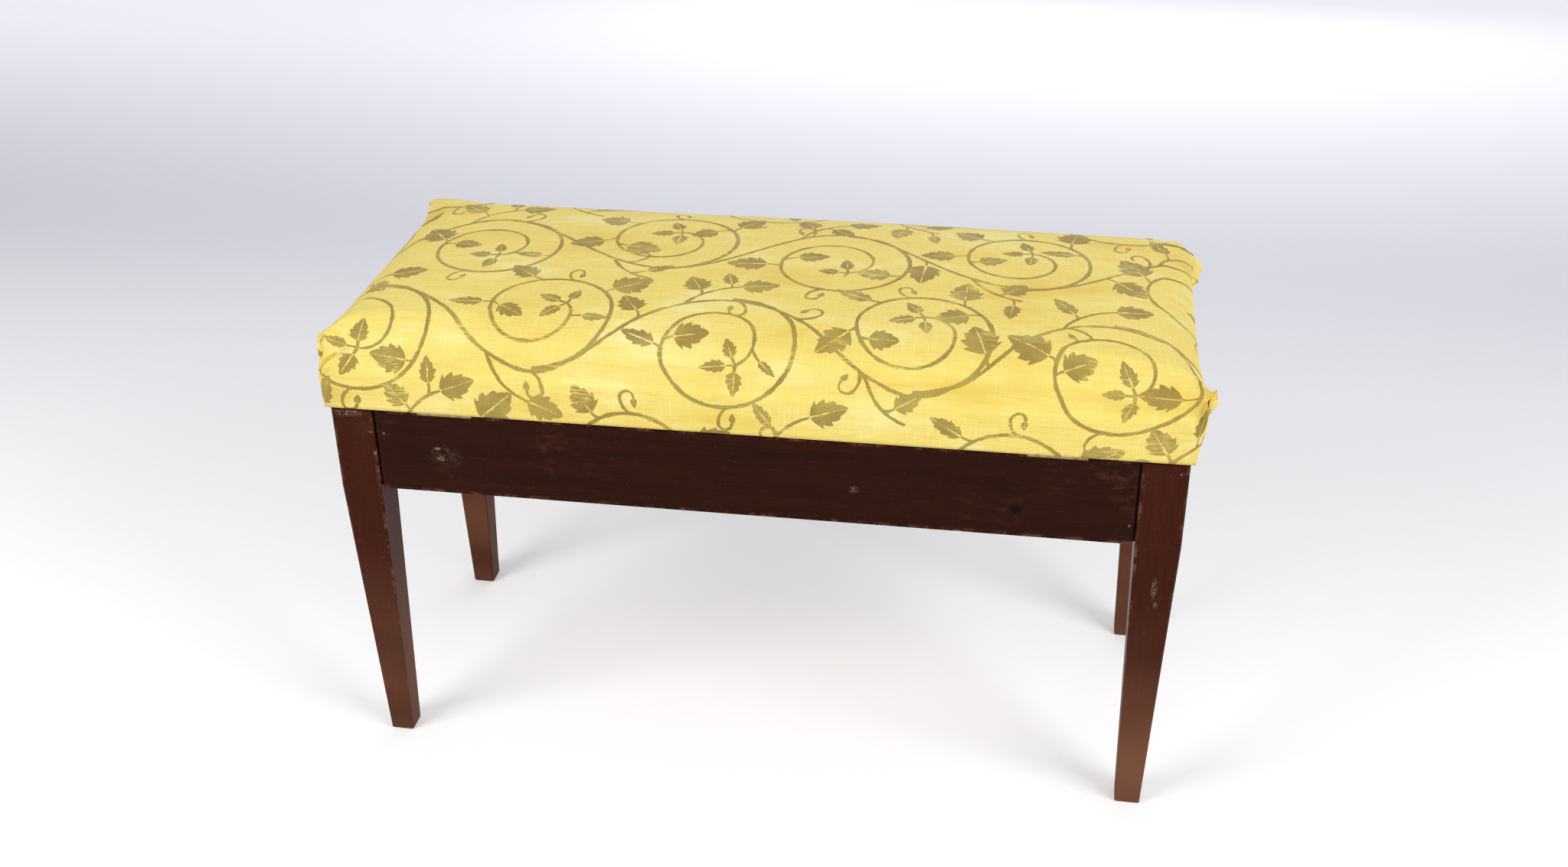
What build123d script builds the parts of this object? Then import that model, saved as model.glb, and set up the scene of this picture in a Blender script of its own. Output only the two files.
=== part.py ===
from build123d import *
import os
from math import cos, radians, sin

os.makedirs("parts", exist_ok=True)

# Piano stool with a hinged, upholstered lid over a shallow music compartment.
# Millimetres. The feet stand on Z = 0, X runs along the length, the hinges are on the -Y side.

# Stand: four tapered legs and four rails
stand_length = 900.0
stand_depth = 376.0
stand_height = 440.0
leg_width = 46.0
leg_arris = 1.5
outer_taper = 11.5
inner_taper = 7.5
foot_chamfer = 1.5
rail_height = 96.0
rail_thickness = 22.0
rail_setback = 1.0
rail_arris = 0.8
joint_line = 3.0
joint_line_depth = 7.0
tenon_length = 24.0
tenon_thickness = 9.0
tenon_shoulder = 12.0
glue_line = 0.1

# Music compartment floor
ledger_width = 14.0
ledger_height = 14.0
ledger_rise = 4.0
floor_thickness = 5.0
floor_clearance = 0.5
brad_shank_radius = 0.8
brad_head_radius = 1.8
brad_head_height = 0.8
brad_length = 15.0
brad_from_leg = 52.0
brads_along = 6
brads_across = 3

# Butt hinges
hinge_length = 60.0
hinge_from_end = 129.0
leaf_width = 20.0
leaf_thickness = 1.5
barrel_radius = 3.25
pin_radius = 1.6
pin_clearance = 0.05
knuckle_count = 5
knuckle_clearance = 0.3
leaf_clearance = 0.2
screws_per_leaf = 3
screw_pitch = 20.0
screw_from_axis = 12.5
screw_head_radius = 2.7
screw_head_height = 0.9
screw_shank_radius = 1.4
screw_length = 14.0
screw_slot_width = 0.8
screw_slot_depth = 0.6
screw_sides = 12
nail_head_sides = 6
nail_shank_sides = 4
hole_clearance = 0.05

# Lid frame, board and lining
lid_overhang = 4.0
lid_frame_width = 50.0
lid_frame_height = 30.0
lid_frame_arris = 1.0
board_thickness = 6.0
hem_width = 40.0
lining_inset = 30.0
lining_thickness = 0.8
tack_from_lining_edge = 6.0
tack_head_radius = 3.5
tack_head_height = 0.8
tack_shank_radius = 0.8
tack_length = 10.0
tacks_along = 11
tacks_between = 3
felt_radius = 8.0
felt_from_end = 150.0
felt_clearance = 0.3

# Upholstery
cover_thickness = 1.2
cloth_ease = 0.1
seat_thickness = 106.5
edge_height = 71.5
ear_spread = 6.0
draw_in = 8.0
long_roll_width = 36.0
end_roll_width = 46.0
shoulder_drop = 8.5
end_crown_rise = 1.5
loft_reach = 10.0
roll_flats = 8
crown_flats = 4

# Levels and centre lines worked out from the sizes above
rail_bottom = stand_height - rail_height
leg_x = (stand_length - leg_width) / 2
leg_y = (stand_depth - leg_width) / 2
foot_width = leg_width - outer_taper - inner_taper
sole_width = foot_width - 2 * foot_chamfer
foot_x = (stand_length - foot_width) / 2 - outer_taper
foot_y = (stand_depth - foot_width) / 2 - outer_taper
rail_x = (stand_length - rail_thickness) / 2 - rail_setback
rail_y = (stand_depth - rail_thickness) / 2 - rail_setback
long_span = stand_length - 2 * leg_width
end_span = stand_depth - 2 * leg_width
tenon_height = rail_height - 2 * tenon_shoulder

ledger_bottom = rail_bottom + ledger_rise
floor_bottom = ledger_bottom + ledger_height
floor_top = floor_bottom + floor_thickness
inner_length = 2 * rail_x - rail_thickness
inner_depth = 2 * rail_y - rail_thickness

lid_gap = 2 * (barrel_radius - leaf_thickness)
axis_y = -(stand_depth / 2 - rail_setback)
axis_z = stand_height + lid_gap / 2
knuckle_pitch = hinge_length / knuckle_count
recess_radius = barrel_radius + knuckle_clearance

lid_underside = stand_height + lid_gap
lid_half_length = stand_length / 2 + lid_overhang
lid_half_depth = stand_depth / 2 + lid_overhang
frame_inset = cover_thickness + cloth_ease
lid_frame_bottom = lid_underside + frame_inset
lid_frame_top = lid_frame_bottom + lid_frame_height
board_top = lid_frame_top + board_thickness
lid_frame_length = 2 * (lid_half_length - frame_inset)
lid_frame_depth = 2 * (lid_half_depth - frame_inset)
lining_bottom = lid_underside - lining_thickness
lining_length = 2 * (lid_half_length - lining_inset)
lining_depth = 2 * (lid_half_depth - lining_inset)
ear_half_length = lid_half_length + ear_spread
ear_half_depth = lid_half_depth + ear_spread
edge_level = lid_underside + edge_height
crown_level = lid_underside + seat_thickness

# Turns that lay a cylinder along X and point a fastener up
along_x = (0, 90, 0)
face_down = (180, 0, 0)

sides = (("left", -1), ("right", 1))
faces_of_stand = (("hinge_side", -1), ("opening_side", 1))
hinge_x = stand_length / 2 - hinge_from_end
hinge_sites = (("left", -hinge_x), ("right", hinge_x))


# Legs: square beside the rails, tapered below them to the foot, with a mortise for each rail
leg_sections = (
    (0, sole_width, foot_x, foot_y),
    (foot_chamfer, foot_width, foot_x, foot_y),
    (rail_bottom, leg_width, leg_x, leg_y),
)
for face_name, face in faces_of_stand:
    for side_name, side in sides:
        with BuildPart() as leg:
            for level, width, middle_x, middle_y in leg_sections:
                with BuildSketch(Plane.XY.offset(level)) as leg_section:
                    with Locations((side * middle_x, face * middle_y)):
                        Rectangle(width, width)
                    chamfer(leg_section.vertices(), leg_arris)
            loft(ruled=True)
            extrude(leg.faces().sort_by(Axis.Z)[-1], amount=rail_height)
            mortise_length = tenon_length + glue_line
            mortise_thickness = tenon_thickness + 2 * glue_line
            mortise_height = tenon_height + 2 * glue_line
            mortise_middle = rail_bottom + rail_height / 2
            mortise_x = (long_span + mortise_length) / 2
            mortise_y = (end_span + mortise_length) / 2
            with Locations((side * mortise_x, face * rail_y, mortise_middle)):
                Box(mortise_length, mortise_thickness, mortise_height, mode=Mode.SUBTRACT)
            with Locations((side * rail_x, face * mortise_y, mortise_middle)):
                Box(mortise_thickness, mortise_length, mortise_height, mode=Mode.SUBTRACT)
        leg.part.label = f"leg_{face_name}_{side_name}"
        export_step(leg.part, f"parts/{leg.part.label}.step")


def screw_points(site, level):
    """Places of one leaf's screws, in a row along the leaf."""
    first = site - screw_pitch * (screws_per_leaf - 1) / 2
    row_y = axis_y + screw_from_axis
    return [(first + screw_pitch * number, row_y, level) for number in range(screws_per_leaf)]


def screw_form(clearance):
    """Flat-headed screw, head up at the origin, grown all round by clearance."""
    with BuildPart() as form:
        with BuildSketch():
            RegularPolygon(screw_head_radius + clearance, screw_sides, major_radius=False)
        extrude(amount=-screw_head_height)
        with BuildSketch(Plane.XY.offset(-screw_head_height)):
            RegularPolygon(screw_shank_radius + clearance, screw_sides, major_radius=False)
        extrude(amount=screw_head_height - screw_length - clearance)
    return form.part


def nail_form(head_radius, head_height, shank_radius, length, clearance):
    """Cut nail with a flat head and a square shank, head up at the origin, grown all round by clearance."""
    with BuildPart() as form:
        with BuildSketch():
            RegularPolygon(head_radius + clearance, nail_head_sides, major_radius=False)
        extrude(amount=-head_height)
        with BuildSketch(Plane.XY.offset(-head_height)):
            RegularPolygon(shank_radius + clearance, nail_shank_sides, major_radius=False)
        extrude(amount=head_height - length - clearance)
    return form.part


brad_sizes = (brad_head_radius, brad_head_height, brad_shank_radius, brad_length)
tack_sizes = (tack_head_radius, tack_head_height, tack_shank_radius, tack_length)
brad = nail_form(*brad_sizes, 0)
tack = nail_form(*tack_sizes, 0)
brad_bore = nail_form(*brad_sizes, hole_clearance)
tack_bore = nail_form(*tack_sizes, hole_clearance)
screw_bore = screw_form(hole_clearance)

# Screw with its driving slot right across the head
with BuildPart() as screw:
    add(screw_form(0))
    slot_length = 2 * screw_head_radius / cos(radians(180 / screw_sides))
    with Locations((0, 0, -screw_slot_depth / 2)):
        Box(slot_length, screw_slot_width, screw_slot_depth, mode=Mode.SUBTRACT)

rail_screw_points = [point for _, site in hinge_sites for point in screw_points(site, stand_height)]
lid_screw_sites = [
    Location(point, face_down) for _, site in hinge_sites for point in screw_points(site, lid_underside)
]

with BuildPart() as hinge_screws_rail:
    with Locations(*rail_screw_points):
        add(screw.part)
hinge_screws_rail.part.label = "hinge_screws_rail"
export_step(hinge_screws_rail.part, "parts/hinge_screws_rail.step")

with BuildPart() as hinge_screws_lid:
    with Locations(*lid_screw_sites):
        add(screw.part)
hinge_screws_lid.part.label = "hinge_screws_lid"
export_step(hinge_screws_lid.part, "parts/hinge_screws_lid.step")


def hinge_pockets(level):
    """Room for both hinges in the wood or cloth at level: a pocket for the leaf, a cove for the barrel."""
    pocket_length = hinge_length + 2 * leaf_clearance
    pocket_width = leaf_width + 2 * leaf_clearance
    with BuildPart() as pockets:
        for _, site in hinge_sites:
            with Locations((site, axis_y + leaf_width / 2, level)):
                Box(pocket_length, pocket_width, 2 * leaf_thickness)
            with Locations(Location((site, axis_y, axis_z), along_x)):
                Cylinder(recess_radius, pocket_length)
    return pockets.part


# Long rails: tenoned at both ends, with an open joint line where the outer face meets each leg
for face_name, face in faces_of_stand:
    with BuildPart() as long_rail:
        with Locations((0, face * rail_y, rail_bottom + rail_height / 2)):
            Box(long_span, rail_thickness, rail_height)
        outer_face = long_rail.faces().sort_by(Axis.Y)[0 if face < 0 else -1]
        fillet(outer_face.edges().filter_by(Axis.X), radius=rail_arris)
        with Locations((0, face * rail_y, rail_bottom + rail_height / 2)):
            Box(long_span + 2 * tenon_length, tenon_thickness, tenon_height)
            with GridLocations(long_span - joint_line, 0, 2, 1):
                with Locations((0, face * (rail_thickness - joint_line_depth) / 2, 0)):
                    Box(joint_line, joint_line_depth, rail_height, mode=Mode.SUBTRACT)
        if face < 0:
            add(hinge_pockets(stand_height), mode=Mode.SUBTRACT)
            with Locations(*rail_screw_points):
                add(screw_bore, mode=Mode.SUBTRACT)
    long_rail.part.label = f"rail_{face_name}"
    export_step(long_rail.part, f"parts/{long_rail.part.label}.step")

# End rails
for side_name, side in sides:
    with BuildPart() as end_rail:
        with Locations((side * rail_x, 0, rail_bottom + rail_height / 2)):
            Box(rail_thickness, end_span, rail_height)
        outer_face = end_rail.faces().sort_by(Axis.X)[0 if side < 0 else -1]
        fillet(outer_face.edges().filter_by(Axis.Y), radius=rail_arris)
        with Locations((side * rail_x, 0, rail_bottom + rail_height / 2)):
            Box(tenon_thickness, end_span + 2 * tenon_length, tenon_height)
            with GridLocations(0, end_span - joint_line, 1, 2):
                with Locations((side * (rail_thickness - joint_line_depth) / 2, 0, 0)):
                    Box(joint_line_depth, joint_line, rail_height, mode=Mode.SUBTRACT)
    end_rail.part.label = f"rail_{side_name}_end"
    export_step(end_rail.part, f"parts/{end_rail.part.label}.step")


# Ledger strips along the inner faces of the rails, drilled for the brads of the floor
ledger_y = (inner_depth - ledger_width) / 2
ledger_x = (inner_length - ledger_width) / 2
ledger_middle = ledger_bottom + ledger_height / 2
brad_pitch_along = (long_span - 2 * brad_from_leg) / (brads_along - 1)
brad_pitch_across = (end_span - 2 * brad_from_leg) / (brads_across - 1)
brads_on_long_sides = GridLocations(brad_pitch_along, 2 * ledger_y, brads_along, 2)
brads_on_ends = GridLocations(2 * ledger_x, brad_pitch_across, 2, brads_across)
brad_sites = [Location((0, 0, floor_top)) * place for place in [*brads_on_long_sides, *brads_on_ends]]

for face_name, face in faces_of_stand:
    with BuildPart() as ledger:
        with Locations((0, face * ledger_y, ledger_middle)):
            Box(long_span - 2 * glue_line, ledger_width, ledger_height)
        with Locations(*brad_sites):
            add(brad_bore, mode=Mode.SUBTRACT)
    ledger.part.label = f"ledger_{face_name}"
    export_step(ledger.part, f"parts/{ledger.part.label}.step")

for side_name, side in sides:
    with BuildPart() as ledger:
        with Locations((side * ledger_x, 0, ledger_middle)):
            Box(ledger_width, end_span - 2 * glue_line, ledger_height)
        with Locations(*brad_sites):
            add(brad_bore, mode=Mode.SUBTRACT)
    ledger.part.label = f"ledger_{side_name}_end"
    export_step(ledger.part, f"parts/{ledger.part.label}.step")


# Floor panel of the compartment, notched round the four legs
with BuildPart() as compartment_floor:
    with BuildSketch(Plane.XY.offset(floor_bottom)):
        Rectangle(inner_length - 2 * floor_clearance, inner_depth - 2 * floor_clearance)
        with GridLocations(2 * leg_x, 2 * leg_y, 2, 2):
            Rectangle(leg_width + 2 * floor_clearance, leg_width + 2 * floor_clearance, mode=Mode.SUBTRACT)
    extrude(amount=floor_thickness)
    with Locations(*brad_sites):
        add(brad_bore, mode=Mode.SUBTRACT)
compartment_floor.part.label = "compartment_floor"
export_step(compartment_floor.part, "parts/compartment_floor.step")

# Brads through the floor into the ledgers
with BuildPart() as floor_brads:
    with Locations(*brad_sites):
        add(brad)
floor_brads.part.label = "floor_brads"
export_step(floor_brads.part, "parts/floor_brads.step")


# Felt pads on the opening side keep the closed lid level
with BuildPart() as felt_pads:
    with Locations((0, rail_y, stand_height)):
        with GridLocations(stand_length - 2 * felt_from_end, 0, 2, 1):
            Cylinder(felt_radius, lid_gap - felt_clearance, align=(Align.CENTER, Align.CENTER, Align.MIN))
felt_pads.part.label = "felt_pads"
export_step(felt_pads.part, "parts/felt_pads.step")


def knuckle_places(site, first):
    """Centres of every second knuckle along one hinge's axis, counted from first."""
    start = site - hinge_length / 2 + knuckle_pitch / 2
    return [
        Location((start + knuckle_pitch * number, axis_y, axis_z), along_x)
        for number in range(first, knuckle_count, 2)
    ]


# Hinges: the rail leaf has the end knuckles, the lid leaf the ones between, and a pin runs through all
for side_name, site in hinge_sites:
    with BuildPart() as rail_leaf:
        with Locations((site, axis_y + leaf_width / 2, stand_height - leaf_thickness / 2)):
            Box(hinge_length, leaf_width, leaf_thickness)
        with Locations(*knuckle_places(site, 1)):
            Cylinder(recess_radius, knuckle_pitch + knuckle_clearance, mode=Mode.SUBTRACT)
        with Locations(*knuckle_places(site, 0)):
            Cylinder(barrel_radius, knuckle_pitch - knuckle_clearance)
        with Locations(Location((site, axis_y, axis_z), along_x)):
            Cylinder(pin_radius + pin_clearance, hinge_length, mode=Mode.SUBTRACT)
        with Locations(*rail_screw_points):
            add(screw_bore, mode=Mode.SUBTRACT)
    rail_leaf.part.label = f"hinge_{side_name}_rail_leaf"
    export_step(rail_leaf.part, f"parts/{rail_leaf.part.label}.step")

    with BuildPart() as lid_leaf:
        with Locations((site, axis_y + leaf_width / 2, lid_underside + leaf_thickness / 2)):
            Box(hinge_length, leaf_width, leaf_thickness)
        with Locations(*knuckle_places(site, 0)):
            Cylinder(recess_radius, knuckle_pitch + knuckle_clearance, mode=Mode.SUBTRACT)
        with Locations(*knuckle_places(site, 1)):
            Cylinder(barrel_radius, knuckle_pitch - knuckle_clearance)
        with Locations(Location((site, axis_y, axis_z), along_x)):
            Cylinder(pin_radius + pin_clearance, hinge_length, mode=Mode.SUBTRACT)
        with Locations(*lid_screw_sites):
            add(screw_bore, mode=Mode.SUBTRACT)
    lid_leaf.part.label = f"hinge_{side_name}_lid_leaf"
    export_step(lid_leaf.part, f"parts/{lid_leaf.part.label}.step")

    with BuildPart() as hinge_pin:
        with Locations(Location((site, axis_y, axis_z), along_x)):
            Cylinder(pin_radius, hinge_length)
    hinge_pin.part.label = f"hinge_{side_name}_pin"
    export_step(hinge_pin.part, f"parts/{hinge_pin.part.label}.step")


def seat_section(plane, half_base, half_edge, roll_width, rise, inset):
    """Upright section of the seat: straight at the frame, flared to a rolled edge, crowned on top."""
    base = half_base - inset
    edge = half_edge - inset
    low = lid_underside + inset
    arris = lid_frame_arris + frame_inset - inset
    crown = crown_level + rise - inset
    shoulder = crown - shoulder_drop
    roll_height = shoulder - edge_level
    flat = edge - roll_width
    turns = [radians(90) * step / roll_flats for step in range(roll_flats + 1)]
    roll = [(flat + roll_width * cos(turn), edge_level + roll_height * sin(turn)) for turn in turns]
    shares = [step / crown_flats for step in range(crown_flats + 1)]
    crown_line = [(flat * (1 - share), crown - shoulder_drop * (1 - share) ** 2) for share in shares]
    with BuildSketch(plane) as section:
        with BuildLine():
            Polyline((0, low), (base - arris, low), (base, low + arris), (base, board_top))
            Line((base, board_top), (edge, edge_level))
            Polyline(*roll)
            Polyline(*crown_line)
            mirror(about=Plane.YZ)
        make_face()
    return section.sketch


def drawn_in(corner, along, corner_along):
    """Half width of the rolled edge, widest at the corners and drawn in between them."""
    return corner - draw_in * (1 - (along / corner_along) ** 2)


def seat_form(inset):
    """The seat's outer form, moved in by inset: long sections crossed with end sections."""
    reach_x = ear_half_length + loft_reach
    reach_y = ear_half_depth + loft_reach
    cross_sections = []
    for along in (-reach_x, 0, reach_x):
        edge = drawn_in(ear_half_depth, along, ear_half_length)
        plane = Plane.YZ.offset(along)
        cross_sections.append(seat_section(plane, lid_half_depth, edge, long_roll_width, 0, inset))
    long_sections = []
    for along in (-reach_y, 0, reach_y):
        edge = drawn_in(ear_half_length, along, ear_half_depth)
        plane = Plane.XZ.offset(along)
        section = seat_section(plane, lid_half_length, edge, end_roll_width, end_crown_rise, inset)
        long_sections.append(section)
    with BuildPart() as form:
        loft(cross_sections)
        loft(long_sections, mode=Mode.INTERSECT)
    return form.part


seat_outside = seat_form(0)
seat_inside = seat_form(cover_thickness)
seat_filling = seat_form(frame_inset)

# Lid frame: four rails half-lapped at the corners, their lower edges eased under the cover
lap = lid_frame_height / 2
frame_half_x = (lid_frame_length - lid_frame_width) / 2
frame_half_y = (lid_frame_depth - lid_frame_width) / 2
tack_x = lining_length / 2 - tack_from_lining_edge
tack_y = lining_depth / 2 - tack_from_lining_edge
tack_bottom = lining_bottom - tack_head_height
tack_pitch_along = 2 * tack_x / (tacks_along - 1)
tack_pitch_across = 2 * tack_y / (tacks_between + 1)
tacks_on_long_sides = GridLocations(tack_pitch_along, 2 * tack_y, tacks_along, 2)
tacks_on_ends = GridLocations(2 * tack_x, tack_pitch_across, 2, tacks_between)
tack_level = Location((0, 0, tack_bottom), face_down)
tack_sites = [tack_level * place for place in [*tacks_on_long_sides, *tacks_on_ends]]

for face_name, face in faces_of_stand:
    with BuildPart() as lid_rail:
        with Locations((0, face * frame_half_y, lid_frame_bottom + lap)):
            Box(lid_frame_length, lid_frame_width, lid_frame_height)
            with GridLocations(2 * frame_half_x, 0, 2, 1):
                with Locations((0, 0, -lap / 2)):
                    Box(lid_frame_width, lid_frame_width, lap, mode=Mode.SUBTRACT)
        add(seat_filling, mode=Mode.INTERSECT)
        with Locations(*tack_sites):
            add(tack_bore, mode=Mode.SUBTRACT)
        if face < 0:
            add(hinge_pockets(lid_underside), mode=Mode.SUBTRACT)
            with Locations(*lid_screw_sites):
                add(screw_bore, mode=Mode.SUBTRACT)
    lid_rail.part.label = f"lid_rail_{face_name}"
    export_step(lid_rail.part, f"parts/{lid_rail.part.label}.step")

for side_name, side in sides:
    with BuildPart() as lid_rail:
        with Locations((side * frame_half_x, 0, lid_frame_bottom + lap)):
            Box(lid_frame_width, lid_frame_depth, lid_frame_height)
            with GridLocations(0, 2 * frame_half_y, 1, 2):
                with Locations((0, 0, lap / 2)):
                    Box(lid_frame_width, lid_frame_width, lap, mode=Mode.SUBTRACT)
        add(seat_filling, mode=Mode.INTERSECT)
        with Locations(*tack_sites):
            add(tack_bore, mode=Mode.SUBTRACT)
    lid_rail.part.label = f"lid_rail_{side_name}_end"
    export_step(lid_rail.part, f"parts/{lid_rail.part.label}.step")

# Board on top of the lid frame
with BuildPart() as seat_board:
    with BuildSketch(Plane.XY.offset(lid_frame_top)):
        Rectangle(lid_frame_length, lid_frame_depth)
    extrude(amount=board_thickness)
seat_board.part.label = "seat_board"
export_step(seat_board.part, "parts/seat_board.step")

# Stuffing: the crowned pad on the board
with BuildPart() as stuffing:
    add(seat_filling)
    split(bisect_by=Plane.XY.offset(board_top), keep=Keep.TOP)
stuffing.part.label = "stuffing"
export_step(stuffing.part, "parts/stuffing.step")

# Cover: a skin round the stuffing and the frame, turned under the lid and cut out at the hinges
with BuildPart() as seat_cover:
    add(seat_outside)
    add(seat_inside, mode=Mode.SUBTRACT)
    with BuildSketch(Plane.XY.offset(lid_underside)):
        Rectangle(2 * (lid_half_length - hem_width), 2 * (lid_half_depth - hem_width))
    extrude(amount=cover_thickness, mode=Mode.SUBTRACT)
    add(hinge_pockets(lid_underside), mode=Mode.SUBTRACT)
    with Locations(*tack_sites):
        add(tack_bore, mode=Mode.SUBTRACT)
seat_cover.part.label = "seat_cover"
export_step(seat_cover.part, "parts/seat_cover.step")

# Lining cloth over the turned-under edges
with BuildPart() as lid_lining:
    with BuildSketch(Plane.XY.offset(lining_bottom)):
        Rectangle(lining_length, lining_depth)
    extrude(amount=lining_thickness)
    with Locations(*tack_sites):
        add(tack_bore, mode=Mode.SUBTRACT)
lid_lining.part.label = "lid_lining"
export_step(lid_lining.part, "parts/lid_lining.step")

# Tacks through the lining and the turned-under edge into the lid frame
with BuildPart() as lining_tacks:
    with Locations(*tack_sites):
        add(tack)
lining_tacks.part.label = "lining_tacks"
export_step(lining_tacks.part, "parts/lining_tacks.step")
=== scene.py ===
"""Dresses a long piano stool: dark stand, brass hinges and a padded lid in printed yellow cloth."""
from collections import namedtuple
from math import cos, pi, sin, sqrt

import bmesh
import bpy
import numpy as np
from bpy.props import FloatProperty, FloatVectorProperty, IntProperty, PointerProperty
from mathutils import Euler, Matrix, Vector, kdtree


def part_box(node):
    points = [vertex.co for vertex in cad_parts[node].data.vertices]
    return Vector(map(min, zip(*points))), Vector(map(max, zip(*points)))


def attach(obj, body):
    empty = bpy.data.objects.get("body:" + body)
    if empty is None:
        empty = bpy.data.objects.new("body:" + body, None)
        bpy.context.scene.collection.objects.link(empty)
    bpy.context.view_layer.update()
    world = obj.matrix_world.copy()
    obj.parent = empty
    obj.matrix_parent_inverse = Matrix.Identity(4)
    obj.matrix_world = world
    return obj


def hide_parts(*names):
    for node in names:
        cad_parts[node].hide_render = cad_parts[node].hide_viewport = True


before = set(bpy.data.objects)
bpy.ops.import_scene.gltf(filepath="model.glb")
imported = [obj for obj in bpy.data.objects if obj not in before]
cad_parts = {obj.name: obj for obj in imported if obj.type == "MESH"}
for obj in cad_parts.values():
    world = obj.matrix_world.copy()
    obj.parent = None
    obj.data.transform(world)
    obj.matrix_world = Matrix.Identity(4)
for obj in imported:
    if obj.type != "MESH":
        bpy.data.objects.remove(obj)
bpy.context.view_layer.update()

bl_info = {
    "name": "Piano stool",
    "version": (1, 0, 0),
    "blender": (4, 5, 0),
    "location": "View3D > Sidebar > Stool",
    "description": "Finishes and soft pieces of a long piano stool with a hinged, padded lid",
    "category": "Object",
}

COVER_LOW, COVER_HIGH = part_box("seat_cover")
BOARD_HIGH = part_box("seat_board")[1]
LINING_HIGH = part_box("lid_lining")[1]
FELT_LOW, FELT_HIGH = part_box("felt_pads")
RAIL_LOW, RAIL_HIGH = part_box("rail_hinge_side")
LEAF_LOW, LEAF_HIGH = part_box("hinge_right_lid_leaf")

LEGS = [f"leg_{face}_{side}" for face in ("hinge_side", "opening_side") for side in ("left", "right")]
LONG_RAILS = ["rail_hinge_side", "rail_opening_side"]
END_RAILS = ["rail_left_end", "rail_right_end"]
LONG_PINE = ["ledger_hinge_side", "ledger_opening_side", "lid_rail_hinge_side", "lid_rail_opening_side"]
END_PINE = ["ledger_left_end", "ledger_right_end", "lid_rail_left_end", "lid_rail_right_end"]
BOARDS = ["compartment_floor", "seat_board"]
HINGES = [f"hinge_{side}_{piece}" for side in ("left", "right") for piece in ("rail_leaf", "pin", "lid_leaf")]
SCREWS = ["hinge_screws_rail", "hinge_screws_lid"]
NAILS = ["floor_brads", "lining_tacks"]

# Marks of use: middle, half size, grain of the break-up or 0, colour and strength
PALE_CHIP = (0.36, 0.24, 0.17, 1.0)
DULL_SCUFF = (0.105, 0.062, 0.045, 1.0)
DARK_KNOT = (0.004, 0.0018, 0.0010, 1.0)
PALE_SPECK = (0.42, 0.33, 0.26, 1.0)
METAL_SPECK = (0.10, 0.07, 0.04, 1.0)
OLD_DUST = (0.22, 0.15, 0.09, 1.0)
FRONT = RAIL_LOW[1]
RAIL_KNOT = (0.282, FRONT, 0.376)
RAIL_MARKS = (
    ((-0.326, FRONT, 0.391), (0.024, 0.02, 0.015), 240.0, DULL_SCUFF, 0.45),
    ((-0.334, FRONT, 0.3985), (0.0045, 0.02, 0.0020), 0.0, PALE_CHIP, 0.60),
    ((-0.3315, FRONT, 0.3865), (0.0055, 0.02, 0.0040), 420.0, PALE_CHIP, 0.65),
    ((-0.393, FRONT, 0.413), (0.0020, 0.02, 0.0024), 0.0, PALE_CHIP, 0.40),
    ((0.117, FRONT, 0.385), (0.0070, 0.02, 0.0050), 380.0, PALE_CHIP, 0.35),
    ((0.225, FRONT, 0.3445), (0.0065, 0.02, 0.0022), 0.0, PALE_CHIP, 0.60),
    ((0.397, FRONT, 0.366), (0.0018, 0.02, 0.0022), 0.0, PALE_CHIP, 0.40),
    (RAIL_KNOT, (0.011, 0.02, 0.0075), 0.0, DARK_KNOT, 0.90),
)
LEG_MARKS = (
    ((0.428, FRONT, 0.292), (0.0040, 0.03, 0.017), 520.0, PALE_CHIP, 0.50),
    ((0.431, FRONT, 0.272), (0.0030, 0.03, 0.0055), 620.0, PALE_CHIP, 0.60),
    ((-0.430, FRONT, 0.436), (0.022, 0.03, 0.0060), 330.0, PALE_CHIP, 0.45),
    ((-0.406, FRONT, 0.388), (0.0026, 0.03, 0.0035), 0.0, PALE_CHIP, 0.35),
    ((-0.408, FRONT, 0.414), (0.0030, 0.03, 0.0012), 0.0, PALE_CHIP, 0.35),
    ((0.442, FRONT, 0.430), (0.0018, 0.03, 0.0020), 0.0, PALE_CHIP, 0.40),
)

# Marks on the cover: middle and half size. The corner mark is painted shade: deeper gold on the upright lower
# front at the left corner, which gets less light from above
CORNER_SHADE = ((-0.444, -0.192, 0.459), (0.034, 0.02, 0.017))
DARK_FLECK = ((0.386, -0.195, 0.534), (0.0028, 0.004, 0.003))

STEMS = ("stem_first", "stem_second", "stem_third")
LEAF_LENGTH = 0.036

GRAIN_ALONG_X = (0.0, 0.0, 0.0)
GRAIN_ALONG_Y = (0.0, 0.0, -pi / 2)
GRAIN_ALONG_Z = (0.0, pi / 2, 0.0)


# Settings

def metres(name, note, size, low, high):
    """Setting for a length."""
    return FloatProperty(name=name, description=note, default=size, min=low, max=high, unit="LENGTH")


def whole(name, note, size, low, high):
    """Setting for a whole number."""
    return IntProperty(name=name, description=note, default=size, min=low, max=high)


def radians(name, note, size):
    """Setting for an angle."""
    return FloatProperty(name=name, description=note, default=size, subtype="ANGLE")


def tint(name, note, tone):
    """Setting for a colour."""
    return FloatVectorProperty(name=name, description=note, default=tone, subtype="COLOR", min=0.0, max=1.0)


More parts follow.
